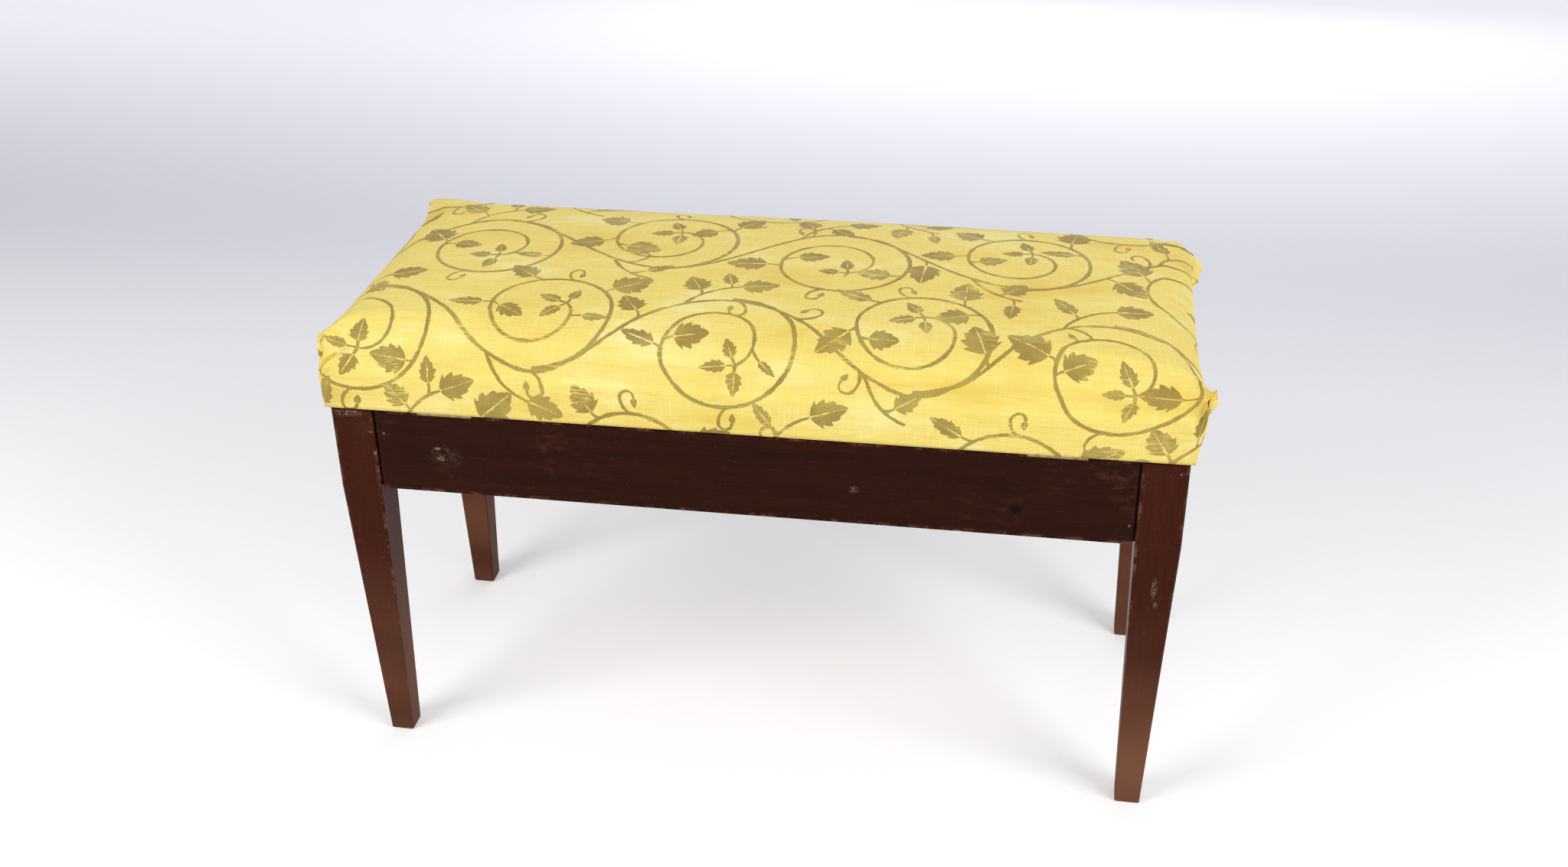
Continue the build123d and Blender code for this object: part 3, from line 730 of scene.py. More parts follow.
def lay_cloth_map(mesh, form):
    """UV map in metres of flat cloth, from the mesh while it is still the flat cloth."""
    facing = read(mesh.polygons, "normal", 3)
    middle = read(mesh.polygons, "center", 3)
    sizes = read(mesh.polygons, "loop_total", kind=np.int32)
    points = read_points(mesh)[read(mesh.loops, "vertex_index", kind=np.int32)]
    at_end = form.share(0, middle[:, 0]) > form.share(1, middle[:, 1])
    at_end = np.where(np.abs(facing[:, 2]) < 0.5, np.abs(facing[:, 0]) > 0.5, at_end)
    at_end = np.repeat(at_end, sizes)
    on_top = np.repeat(facing[:, 2] > 0.5, sizes)
    share = np.maximum(form.share(0, points[:, 0]), form.share(1, points[:, 1]))
    turned = np.where(-points[:, 2] > form.side_end, (1 - share) * form.base[1], 0.0)
    beyond = np.where(on_top, 0.0, -points[:, 2] + turned)
    along = points[:, 0] / np.where(on_top, 1.0, share)
    across = points[:, 1] / np.where(on_top, 1.0, share)
    along = along + np.where(at_end, np.sign(points[:, 0]) * beyond, 0.0)
    across = across + np.where(at_end, 0.0, np.sign(points[:, 1]) * beyond)
    laid = mesh.uv_layers.new(name="cloth")
    laid.data.foreach_set("uv", np.column_stack((along, across)).astype(np.float32).ravel())


class Vine:
    """Printed vine: stems as lines with half widths, and leaves as middle, heading, length and breadth."""
    step = 0.0018
    main_half, branch_half, curl_half, stalk_half = 0.0025, 0.0022, 0.0019, 0.0017

    def __init__(self, seed, reach, rows):
        self.chance = np.random.default_rng(seed)
        self.stems = []
        self.leaves = []
        for row in range(-rows, rows + 1):
            self.grow_runner(row, reach)

    def bow(self, start, heading, length, bend):
        """Line from a point that turns by bend over its length."""
        steps = max(4, int(length / self.step))
        line = [start]
        for index in range(steps):
            turn = heading + bend * (index + 0.5) / steps
            x, y = line[-1]
            line.append((x + length / steps * cos(turn), y + length / steps * sin(turn)))
        return line

    def scroll(self, middle, side, outer):
        """Line that leaves the runner at a bend and curls in round a middle."""
        turns = 1.38 + self.chance.uniform(-0.08, 0.10)
        steps = int(outer * turns * 2 * pi / self.step)
        line = []
        for index in range(steps + 1):
            share = index / steps
            away = outer * (1 - 0.66 * share ** 1.5)
            angle = side * (pi / 2 - turns * 2 * pi * share)
            line.append((middle[0] + away * cos(angle), middle[1] + away * sin(angle)))
        return line

    def heading(self, line, index):
        """Direction of a line at one of its points."""
        index = min(max(index, 1), len(line) - 2)
        ahead, behind = line[index + 1], line[index - 1]
        return np.arctan2(ahead[1] - behind[1], ahead[0] - behind[0])

    def add_leaf(self, line, share, hand, length, breadth=None):
        """Leaf on a short stalk beside a stem, where there is room for it."""
        index = int(len(line) * (share + self.chance.uniform(-0.03, 0.03)))
        turn = self.heading(line, index) + hand * self.chance.uniform(0.55, 0.95)
        reach = self.chance.uniform(0.009, 0.018)
        stalk = self.bow(line[index], turn, reach, hand * self.chance.uniform(0.2, 0.9))
        breadth = breadth or self.chance.choice([1.0, 0.9, 0.75, 0.3])
        size = length * self.chance.uniform(0.85, 1.2)
        if self.open_leaf(stalk[-1], self.heading(stalk, len(stalk)), size, breadth):
            self.stems.append((stalk, self.stalk_half))

    def open_leaf(self, base, heading, length, breadth):
        """Adds a leaf unless it would lie over another one."""
        middle = (base[0] + length / 2 * cos(heading), base[1] + length / 2 * sin(heading))
        for other, _, size, _ in self.leaves:
            if np.hypot(middle[0] - other[0], middle[1] - other[1]) < 0.52 * (length + size):
                return False
        self.leaves.append((middle, heading, length, breadth))
        return True

    def add_tendril(self, line, share, hand, size):
        """Thin curl beside a stem, with a bud at its end."""
        index = int(len(line) * (share + self.chance.uniform(-0.02, 0.02)))
        run = self.bow(line[index], self.heading(line, index) + hand * 0.5, size, hand)
        curl = self.bow(run[-1], self.heading(run, len(run)), size * 1.1, hand * 3.4)
        self.stems.append((run + curl[1:], self.curl_half))
        self.open_leaf(curl[-1], self.heading(curl, len(curl)), 0.011, 0.6)

    def add_sprig(self, line, share, hand):
        """Side branch with a leaf at its end and others along it."""
        index = min(max(int(len(line) * share), 0), len(line) - 1)
        branch = self.bow(line[index], self.heading(line, index) + 0.7 * hand, 0.075, -1.0 * hand)
        self.stems.append((branch, self.branch_half))
        self.open_leaf(branch[-1], self.heading(branch, len(branch)), 0.040, 0.8)
        self.add_leaf(branch, 0.40, hand, 0.036)
        self.add_leaf(branch, 0.62, -hand, 0.034)
        self.add_leaf(branch, 0.82, hand, 0.028, 0.5)

    def grow_runner(self, row, reach):
        """Wavy stem along the cloth, with a scroll in each of its bends."""
        wave, swing, gap, outer = 0.392, 0.060, 0.186, 0.084
        level = row * gap + 0.035
        phase = (row % 2) * pi / 2 + 0.4
        runner = []
        for index in range(int(2 * reach / self.step)):
            along = index * self.step - reach
            waver = 0.004 * sin(31 * along + row)
            runner.append((along, level + swing * sin(2 * pi * along / wave + phase) + waver))
        self.stems.append((runner, self.main_half))
        for bend in range(-9, 10):
            side = 1 if bend % 2 == 0 else -1
            crest = (bend + 0.5) * wave / 2 - phase * wave / (2 * pi)
            if abs(crest) > reach:
                continue
            size = outer * self.chance.uniform(0.90, 1.0)
            curl = self.scroll((crest, level + side * (swing - size)), side, size)
            self.stems.append((curl, self.main_half))
            for spread in (-1.35, 0.0, 1.35):
                turn = self.heading(curl, len(curl)) - 0.3 * side + spread
                stalk = self.bow(curl[-1], turn, 0.010, 0.0)
                self.stems.append((stalk, self.curl_half))
                self.open_leaf(stalk[-1], turn, 0.026 * self.chance.uniform(0.85, 1.1), 0.55)
            for share in (0.22, 0.38, 0.54, 0.72):
                self.add_leaf(curl, share, -side, 0.035)
            for share in (0.24, 0.42, 0.53):
                self.add_leaf(curl, share, side, 0.040)
            self.add_tendril(curl, 0.36, side, 0.022)
            crest_share = (crest + reach) / (2 * reach)
            self.add_sprig(runner, crest_share - 0.035, side)
            self.add_leaf(curl, 0.90, side, 0.024, 0.25)
        margin, apart = 40, 52
        for index in range(margin, len(runner) - margin, apart):
            hand = 1 if (index // apart) % 2 else -1
            if self.chance.uniform() < 0.55:
                self.add_leaf(runner, index / len(runner), hand, 0.042)
            else:
                self.add_tendril(runner, index / len(runner), hand, 0.026)

    def nearest_stems(self, middles, reach=0.009):
        """The three nearest stems within reach of each face's middle, or -1."""
        tree = kdtree.KDTree(sum(len(line) for line, _ in self.stems))
        owner = []
        for index, (line, _) in enumerate(self.stems):
            for point in line:
                tree.insert((*point, 0.0), len(owner))
                owner.append(index)
        tree.balance()
        chosen = np.full((len(middles), 3), -1)
        for row, (along, across) in enumerate(middles):
            closest = {}
            for _, index, distance in tree.find_range((along, across, 0.0), reach):
                stem = owner[index]
                closest[stem] = min(distance, closest.get(stem, reach))
            near = sorted(closest, key=closest.get)[:3]
            chosen[row, :len(near)] = near
        return chosen

    def by_stem(self, index, places):
        """Offset of places from a stem's middle line, how far they are past its ends, and its half width."""
        line, width = self.stems[index]
        line = np.array(line)
        ahead = np.gradient(line, axis=0)
        step = np.linalg.norm(ahead, axis=1)
        ahead = ahead / step[:, None]
        nearest = np.argmin(((places[:, None, :] - line[None]) ** 2).sum(axis=2), axis=1)
        x, y = (places - line[nearest]).T
        turn_x, turn_y = ahead[nearest].T
        run = x * turn_x + y * turn_y
        past = np.maximum(run - (len(line) - 1 - nearest) * step.mean(), -run - nearest * step.mean())
        return np.column_stack((y * turn_x - x * turn_y, past, width * (1.0 - 0.25 * nearest / len(line))))

    def nearest_leaf(self, middles, reach=0.012):
        """The nearest leaf within reach of each face's middle, or -1."""
        tree = kdtree.KDTree(len(self.leaves))
        for index, leaf in enumerate(self.leaves):
            tree.insert((*leaf[0], 0.0), index)
        tree.balance()
        chosen = np.full(len(middles), -1)
        for row, (along, across) in enumerate(middles):
            near = tree.find_n((along, across, 0.0), 3)
            gap, leaf = min((distance - self.leaves[index][2] / 2, index) for _, index, distance in near)
            if gap < reach:
                chosen[row] = leaf
        return chosen

    def by_leaf(self, index, places):
        """Share of places along a leaf, their share beside its midrib, and the leaf's breadth."""
        middle, heading, length, breadth = self.leaves[index]
        x, y = (places - np.array(middle)).T
        run = (x * cos(heading) + y * sin(heading)) / length + 0.5
        beside = (y * cos(heading) - x * sin(heading)) / length
        return np.column_stack((run, beside, np.full(len(places), breadth)))


def print_vine(mesh, vine):
    """Stores on each face corner where it lies by the three stems and the leaf nearest to its face."""
    sizes = read(mesh.polygons, "loop_total", kind=np.int32)
    places = read(mesh.uv_layers["cloth"].data, "uv", 2)
    middles = np.add.reduceat(places, np.cumsum(sizes) - sizes) / sizes[:, None]
    jobs = [(name, chosen, vine.by_stem) for name, chosen in zip(STEMS, vine.nearest_stems(middles).T)]
    jobs.append(("leaf_place", vine.nearest_leaf(middles), vine.by_leaf))
    for name, chosen, measure in jobs:
        values = np.ones((len(places), 3))
        owner = np.repeat(chosen, sizes)
        for index in np.unique(chosen[chosen >= 0]):
            here = owner == index
            values[here] = measure(index, places[here])
        held = mesh.attributes.new(name, "FLOAT_VECTOR", "CORNER")
        held.data.foreach_set("vector", values.astype(np.float32).ravel())


# Ears of the cover, by end (hand) and long side (face): spread of the corner and its reach, swell and lift,
# rounding in below it, roll down the end, pleat beside it and its start, reach of the finer mesh
Ear = namedtuple("Ear", "hand face spread reach swell lift round_in roll pleat start fine")
EARS = (
    Ear(-1, -1, -0.001, 0.016, 0.010, 0.008, 0.006, 0.000, 0.003, 0.010, 0.042),
    Ear(1, -1, 0.002, 0.024, 0.009, 0.011, 0.014, 0.000, 0.003, 0.010, 0.034),
    Ear(-1, 1, 0.018, 0.045, 0.003, 0.000, 0.007, 0.000, 0.003, 0.010, 0.022),
    Ear(1, 1, 0.008, 0.030, -0.017, -0.005, 0.006, 0.007, 0.004, 0.000, 0.030),
)
SWELL_REACH = 0.045  # reach of the swell round every ear
BOARD_EASE = 0.012  # height over the board in which the folds die out
FOLD_GROWTH = 0.020  # drop below its start in which a fold grows
ROUND_REACH = 0.018  # reach of the rounding on both sides of the corner
PLEAT_IN, PLEAT_HALF, PLEAT_WAVER = 0.013, 0.0032, 0.002
ROLL_DOWN, ROLL_TALL, ROLL_IN, ROLL_THIN = 0.024, 0.016, 0.008, 0.004
EASING_STEPS = 4

# Open mouths of the folds at the front ears: place in from the end and down, half width, half height, depth
# and way out
Mouth = namedtuple("Mouth", "hand face inward down wide tall deep out")
MOUTHS = (
    Mouth(1, -1, 0.0055, 0.0100, 0.0050, 0.0095, 0.020, (-0.20, -0.97, 0.10)),
    Mouth(-1, -1, 0.0010, 0.0040, 0.0028, 0.0048, 0.009, (-0.62, -0.77, -0.12)),
)
MOUTH_FLARE = 0.45  # how much wider a mouth is at its top
MOUTH_LEAN = 0.18  # sideways shift of each step inward, in half widths
MOUTH_STEPS = (0.90, 0.75, 0.50, 0.15)  # width of each step inward by the one before
MOUTH_FAR, RING_FAR = 0.018, 0.020  # limits of the cut and of its edge from the middle

# Creases: place in from the end and up the cloth past the edge, turn, length, half width and depth
Crease = namedtuple("Crease", "hand face inward up turn length half depth")
CREASES = (
    Crease(-1, -1, 0.006, -0.031, 0.68, 0.042, 0.0020, 0.0042),
    Crease(-1, -1, 0.034, -0.014, 0.85, 0.024, 0.0020, 0.0020),
    Crease(-1, -1, 0.006, -0.046, 0.75, 0.050, 0.0060, 0.0012),
    Crease(1, -1, 0.028, 0.006, -1.15, 0.040, 0.0036, 0.0036),
    Crease(1, -1, 0.016, -0.030, 2.20, 0.050, 0.0050, 0.0020),
    Crease(1, -1, 0.010, -0.026, 1.75, 0.026, 0.0022, 0.0026),
    Crease(1, 1, 0.010, 0.006, 2.65, 0.070, 0.0040, 0.0022),
    Crease(1, 1, 0.016, 0.004, 2.10, 0.080, 0.0050, 0.0020),
    Crease(1, 1, 0.022, 0.008, 3.05, 0.085, 0.0050, 0.0016),
    Crease(-1, 1, 0.010, 0.006, 0.55, 0.055, 0.0045, 0.0016),
)


class FlatPlace:
    """Where points lie on the flat cloth: distances from the ends, from the long sides and down."""

    def __init__(self, flat, form):
        self.flat = flat
        self.down = np.clip(-flat[:, 2], 0.0, None)
        self.from_end = np.where(flat[:, 0] < 0.0, *form.flat[0]) - np.abs(flat[:, 0])
        self.from_side = np.where(flat[:, 1] < 0.0, *form.flat[1]) - np.abs(flat[:, 1])
        self.above_hem = self.down < form.side_end
        self.on_side = (self.down > 0.0) & self.above_hem
        self.on_end = self.on_side & (self.from_end < 1e-5)

    def quarter(self, row):
        """Marks the points above the hem in the quarter of an ear or crease."""
        along, across = np.sign(self.flat[:, 0]) == row.hand, np.sign(self.flat[:, 1]) == row.face
        return along & across & self.above_hem


def read_flat(mesh):
    """Places of the mesh's points on the flat cloth, as kept before it was shaped."""
    return read(mesh.attributes["flat_place"].data, "vector", 3)


def bend_corners(flat, points, form):
    """Draws each corner up and out to an ear, rounds the cloth in below it and pleats the end beside it."""
    moved = points.copy()
    at = FlatPlace(flat, form)
    gone = np.sqrt(at.from_end ** 2 + at.from_side ** 2 + at.down ** 2)
    beside = at.from_end + at.from_side
    above_board = np.clip((points[:, 2] - BOARD_HIGH[2]) / BOARD_EASE, 0.0, 1.0)
    for ear in EARS:
        here = at.quarter(ear)
        peak = np.exp(-(gone / ear.reach) ** 2) * here
        broad = np.exp(-(gone / SWELL_REACH) ** 2) * here
        below = np.clip((at.down - ear.start) / FOLD_GROWTH, 0.0, 1.0) * above_board * here
        rounded = np.clip(1 - beside / ROUND_REACH, 0.0, 1.0) ** 2 * below * at.on_side
        line = PLEAT_IN + PLEAT_WAVER * np.sin(at.down * 60.0 + ear.hand)
        drawn = np.exp(-((at.from_side - line) / PLEAT_HALF) ** 2) * below * at.on_end
        rolled = np.exp(-((at.down - ROLL_DOWN) / ROLL_TALL) ** 2 - (at.from_side / ROLL_IN) ** 2)
        rolled *= np.exp(-(at.from_end / ROLL_THIN) ** 2) * here * at.on_side
        outward = ear.spread * peak - ear.round_in * rounded
        moved[:, 0] += ear.hand * (outward * 0.8 + ear.roll * rolled - ear.pleat * drawn)
        moved[:, 1] += ear.face * outward * 0.5
        moved[:, 2] += ear.swell * broad + ear.lift * peak
    return moved


def refine_corners(mesh, form):
    """Divides the cloth finer round its four ears and eases the new points."""
    cloth = bmesh.new()
    cloth.from_mesh(mesh)
    place = cloth.verts.layers.float_vector["flat_place"]
    margin = 0.004

    def by_ears(short):
        """Points of the cloth nearer to an ear than its reach, less a margin."""
        at = FlatPlace(np.array([point[place] for point in cloth.verts]), form)
        gone = np.sqrt(at.from_end ** 2 + at.from_side ** 2 + (0.7 * at.down) ** 2)
        close = np.zeros(len(gone), dtype=bool)
        for ear in EARS:
            close |= at.quarter(ear) & (gone < ear.fine - short)
        close &= at.down < form.drop - margin
        return {point for point, taken in zip(cloth.verts, close) if taken}

    points = by_ears(0.0)
    edges = [edge for edge in cloth.edges if all(point in points for point in edge.verts)]
    bmesh.ops.subdivide_edges(cloth, edges=edges, cuts=1, use_grid_fill=True)
    inner = list(by_ears(margin))
    for _ in range(EASING_STEPS):
        bmesh.ops.smooth_vert(cloth, verts=inner, factor=0.5,
                              use_axis_x=True, use_axis_y=True, use_axis_z=True)
    cloth.to_mesh(mesh)
    cloth.free()


def open_ear(mesh, form, mouth):
    """Cuts the mouth of a fold into an ear and draws its edge inward to a slit, narrow below."""
    cloth = bmesh.new()
    cloth.from_mesh(mesh)
    place = cloth.verts.layers.float_vector["flat_place"]
    end, side = form.flat[0][mouth.hand > 0], form.flat[1][mouth.face > 0]
    target = Vector((mouth.hand * (end - mouth.inward), mouth.face * side, -mouth.down))
    middle = min(cloth.verts, key=lambda point: (point[place] - target).length_squared).co.copy()
    out = Vector(mouth.out).normalized()
    across = Vector((0.0, 0.0, 1.0)).cross(out).normalized()
    rise = out.cross(across)

    def reach(spot):
        """Distance of a spot from the mouth's middle, 1 on its outline."""
        up = (spot - middle).dot(rise) / mouth.tall
        flare = 1 + MOUTH_FLARE * max(-1.0, min(1.0, up))
        return sqrt(((spot - middle).dot(across) / (mouth.wide * flare)) ** 2 + up ** 2)

    doomed = [face for face in cloth.faces
              if (face.calc_center_median() - middle).length < MOUTH_FAR and face.normal.dot(out) > 0.0
              and reach(face.calc_center_median()) < 1.0]
    bmesh.ops.delete(cloth, geom=doomed, context="FACES")
    ring = [edge for edge in cloth.edges if edge.is_boundary
            and all((point.co - middle).length < RING_FAR for point in edge.verts)]
    for point in {point for edge in ring for point in edge.verts}:
        share = reach(point.co)
        depth = (point.co - middle).dot(out) * out
        point.co = middle + depth + (point.co - middle - depth) / max(share, 0.2)
    for narrow in MOUTH_STEPS:
        pulled = bmesh.ops.extrude_edge_only(cloth, edges=ring)
        ring = [item for item in pulled["geom"] if isinstance(item, bmesh.types.BMEdge)]
        for point in new_points(pulled):
            beside = (point.co - middle).dot(across)
            shift = beside * (narrow - 1) - MOUTH_LEAN * mouth.wide
            point.co += across * shift - out * (mouth.deep / len(MOUTH_STEPS))
    bmesh.ops.holes_fill(cloth, edges=ring, sides=0)
    bmesh.ops.recalc_face_normals(cloth, faces=cloth.faces)
    cloth.to_mesh(mesh)
    cloth.free()


def crease_heights(flat, form):
    """Height that the creases add to points of the flat cloth, its ends folded out beside its long sides."""
    height = np.zeros(len(flat))
    at = FlatPlace(flat, form)
    y_unfolded = np.where(at.down > 0.0, -at.down, at.from_side)
    for fold in CREASES:
        x = np.where(at.on_end, -at.from_side, at.from_end) * -fold.hand - fold.inward * -fold.hand
        y = y_unfolded - fold.up
        run = (x * cos(fold.turn) + y * sin(fold.turn)) / fold.length
        off = (y * cos(fold.turn) - x * sin(fold.turn)) / fold.half
        within = (run > 0.0) & (run < 1.0) & at.quarter(fold)
        strength = np.where(within, np.sin(pi * np.clip(run, 0.0, 1.0)) ** 0.7, 0.0)
        height += fold.depth * strength * (np.exp(-(off - 1.4) ** 2) - 0.75 * np.exp(-off ** 2))
    return height


PULL_STEPS = 20


def tighten(mesh, held, cap):
    """Cloth simulation: the cover swells against its fixed lower edge, no point moving more than cap."""
    start = read_points(mesh)
    piece = bpy.data.objects.new("cloth_in_work", mesh)
    scene = bpy.context.scene
    scene.collection.objects.link(piece)
    group = piece.vertex_groups.new(name="held")
    group.add([int(index) for index in np.nonzero(held)[0]], 1.0, "REPLACE")
    cloth = piece.modifiers.new("pull", "CLOTH")
    cloth.settings.quality = 5
    cloth.settings.mass = 0.2
    cloth.settings.tension_stiffness = 12.0
    cloth.settings.compression_stiffness = 12.0
    cloth.settings.bending_stiffness = 0.4
    cloth.settings.use_pressure = True
    cloth.settings.uniform_pressure_force = 5.0
    cloth.settings.shrink_min = -0.006
    cloth.settings.vertex_group_mass = group.name
    cloth.settings.effector_weights.gravity = 0.0
    cloth.collision_settings.use_collision = False
    for step in range(1, PULL_STEPS + 1):
        scene.frame_set(step)
    pulled = piece.evaluated_get(bpy.context.evaluated_depsgraph_get())
    moved = read_points(pulled.data) - start
    scene.frame_set(1)
    bpy.data.objects.remove(piece)
    far = np.linalg.norm(moved, axis=1)[:, None]
    write_points(mesh, start + moved * np.minimum(1.0, cap / np.maximum(far, 1e-9)))


def cut_hinge_notches(mesh):
    """Opens the hem where the hinge leaves lie against the lid."""
    near, far = LEAF_LOW[1] - 0.0003, LEAF_HIGH[1] + 0.0002
    left, right = LEAF_LOW[0] - 0.0002, LEAF_HIGH[0] + 0.0002
    form = bmesh.new()
    form.from_mesh(mesh)

    def hem_faces():
        """Faces of the cloth turned under the lid on the hinge side, with their middles."""
        under = [(face, face.calc_center_median()) for face in form.faces if face.normal.z < -0.5]
        return [row for row in under if row[1].z < COVER_LOW[2] + 0.003 and row[1].y < 0.0]

    planes = [((x, 0.0, 0.0), (1.0, 0.0, 0.0)) for x in (left, right, -left, -right)]
    planes += [((0.0, y, 0.0), (0.0, 1.0, 0.0)) for y in (near, far)]
    for place, facing in planes:
        faces = [face for face, _ in hem_faces()]
        edges = {edge for face in faces for edge in face.edges}
        points = {point for face in faces for point in face.verts}
        bmesh.ops.bisect_plane(form, geom=list(points) + list(edges) + faces, dist=1e-6,
                               plane_co=place, plane_no=facing)
    doomed = [face for face, middle in hem_faces() if left < abs(middle.x) < right and near < middle.y < far]
    bmesh.ops.delete(form, geom=doomed, context="FACES")
    form.to_mesh(mesh)
    form.free()


# Stage

# Lamps: name, place, size and share of the lamp power
LAMPS = (
    ("lamp_left", (-2.0, -1.9, 2.0), 1.5, 1.0),
    ("lamp_right", (2.35, -1.45, 2.0), 1.5, 1.0),
    ("lamp_back", (0.3, 2.7, 1.4), 2.4, 0.34),
)
LAMP_AIM = Vector((0.0, 0.0, 0.3))
GROUND_HALF = 30.0
NEAR_GLOW, FAR_GLOW = 0.34, 0.66  # glow of the ground by the stool, and how much it gains far behind
ROOM_LIGHT, ROOM_SEEN = 0.42, 0.30  # strength of the room's light, and how much more of it is seen


def lay_ground(scene, stage):
    """Plain paper ground that turns into a hazy backdrop."""
    form = bmesh.new()
    bmesh.ops.create_grid(form, x_segments=1, y_segments=1, size=GROUND_HALF)
    ground = bpy.data.objects.new("ground", mesh_from(form, "ground"))
    scene.collection.objects.link(ground)
    made, tree, shader, place = new_finish("ground_paper")
    depth = axes(tree, place)["Y"]
    tone = blend(tree, fade(tree, depth, 0.0, 1.5), colour(stage.floor), colour(stage.backdrop))
    haze = lift(tree, NEAR_GLOW, fade(tree, depth, 1.2, 3.0), FAR_GLOW)
    feed(tree, shader, Base_Color=tone, Roughness=0.9)
    feed(tree, shader, Emission_Color=tone, Emission_Strength=times(tree, straight_sight(tree), haze))
    ground.data.materials.append(made)


def light_room(scene, stage):
    """Soft light from all round, and three lamps."""
    world = bpy.data.worlds.new("soft_room")
    world.use_nodes = True
    sky = world.node_tree
    strength = lift(sky, ROOM_LIGHT, straight_sight(sky), ROOM_SEEN)
    feed(sky, sky.nodes["Background"], Color=(0.97, 0.98, 1.0, 1.0), Strength=strength)
    scene.world = world
    for name, place, size, share in LAMPS:
        lamp = bpy.data.lights.new(name, "AREA")
        lamp.energy = stage.lamp_power * share
        lamp.size = size
        hung = bpy.data.objects.new(name, lamp)
        hung.location = place
        hung.rotation_euler = (LAMP_AIM - hung.location).to_track_quat("-Z", "Y").to_euler()
        scene.collection.objects.link(hung)


def set_camera(scene, stage):
    """Camera where the photograph was taken from."""
    lens = bpy.data.cameras.new("camera")
    lens.sensor_fit = "HORIZONTAL"
    lens.sensor_width = 36.0
    lens.lens = stage.lens
    lens.shift_x, lens.shift_y = stage.shift
    camera = bpy.data.objects.new("camera", lens)
    turn = Euler((pi / 2 - stage.camera_dip, 0.0, stage.camera_turn)).to_matrix()
    lean = Matrix.Rotation(stage.camera_roll, 3, "Z")
    camera.matrix_world = Matrix.Translation(stage.camera_place) @ (turn @ lean).to_4x4()
    scene.collection.objects.link(camera)
    scene.camera = camera


# Operators

class STOOL_OT_shared_effects(bpy.types.Operator):
    """Make the grain, wear and weave that the finishes share"""
    bl_idname = "stool.shared_effects"
    bl_label = "Shared effects"

    def execute(self, context):
        make_grain_group()
        make_wear_group()
        make_weave_group()
        return {"FINISHED"}


class STOOL_OT_stand(bpy.types.Operator):
    """Finish the legs and rails in dark mahogany"""
    bl_idname = "stool.stand"
    bl_label = "Stand"

    def execute(self, context):
        finish = context.scene.stool_finish
        leg_dark = [0.6 * dark + 0.4 * red for dark, red in zip(finish.wood_dark, finish.wood_leg)]
        legs = (leg_dark, finish.wood_leg, finish.wood_worn_and_sheen)
        rails = (finish.wood_dark, finish.wood_rail, finish.wood_worn_and_sheen)
        clothe(LEGS, mahogany("mahogany_upright", *legs, GRAIN_ALONG_Z, leg_arrises, LEG_MARKS))
        clothe(LONG_RAILS, mahogany("mahogany_long", *rails, GRAIN_ALONG_X, rail_arrises, RAIL_MARKS))
        clothe(END_RAILS, mahogany("mahogany_across", *rails, GRAIN_ALONG_Y, rail_arrises))
        return {"FINISHED"}


class STOOL_OT_inside_wood(bpy.types.Operator):
    """Finish the ledgers, the lid frame and the two boards in raw wood"""
    bl_idname = "stool.inside_wood"
    bl_label = "Inside wood"

    def execute(self, context):
        pine = context.scene.stool_finish.pine
        clothe(LONG_PINE, softwood("pine_long", pine, GRAIN_ALONG_X))
        clothe(END_PINE, softwood("pine_across", pine, GRAIN_ALONG_Y))
        clothe(BOARDS, softwood("plywood", (pine[0] * 0.8, pine[1] * 0.78, pine[2] * 0.75), GRAIN_ALONG_X))
        return {"FINISHED"}


class STOOL_OT_fittings(bpy.types.Operator):
    """Finish the hinges and screws in tarnished brass and the nails in blued steel"""
    bl_idname = "stool.fittings"
    bl_label = "Fittings"

    def execute(self, context):
        brass = context.scene.stool_finish.brass
        clothe(HINGES + SCREWS, tarnished_metal("brass", brass, (0.25, 0.17, 0.07), 0.32))
        clothe(NAILS, tarnished_metal("blued_steel", (0.12, 0.115, 0.11), (0.05, 0.045, 0.04), 0.38))
        return {"FINISHED"}


class STOOL_OT_felt_pads(bpy.types.Operator):
    """Make the two felt discs that the closed lid rests on"""
    bl_idname = "stool.felt_pads"
    bl_label = "Felt pads"

    def execute(self, context):
        felt = matted("felt", (900.0, 4.0, 0.7), (0.05, 0.045, 0.04), (0.12, 0.105, 0.09),
                      dullness=0.85, relief=(0.0006, 0.7), sheen=0.3)
        radius = (FELT_HIGH[1] - FELT_LOW[1]) / 2
        height = FELT_HIGH[2] - FELT_LOW[2]
        form = bmesh.new()
        for side in (-1, 1):
            place = Matrix.Translation((side * (FELT_HIGH[0] - radius), (FELT_LOW[1] + FELT_HIGH[1]) / 2,
                                        (FELT_LOW[2] + FELT_HIGH[2]) / 2))
            made = bmesh.ops.create_cone(form, cap_ends=True, segments=40, radius1=radius, radius2=radius,
                                         depth=height, matrix=place)
            rims = {edge for point in made["verts"] for edge in point.link_edges
                    if abs(edge.verts[0].co.z - edge.verts[1].co.z) < 1e-6}
            bmesh.ops.bevel(form, geom=list(rims), offset=0.0009, offset_type="OFFSET", affect="EDGES",
                            segments=3, profile=0.5, material=-1)
        piece = new_piece("felt_discs", mesh_from(form, "felt_discs"), "stand", felt)
        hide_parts("felt_pads")
        return {"FINISHED"}


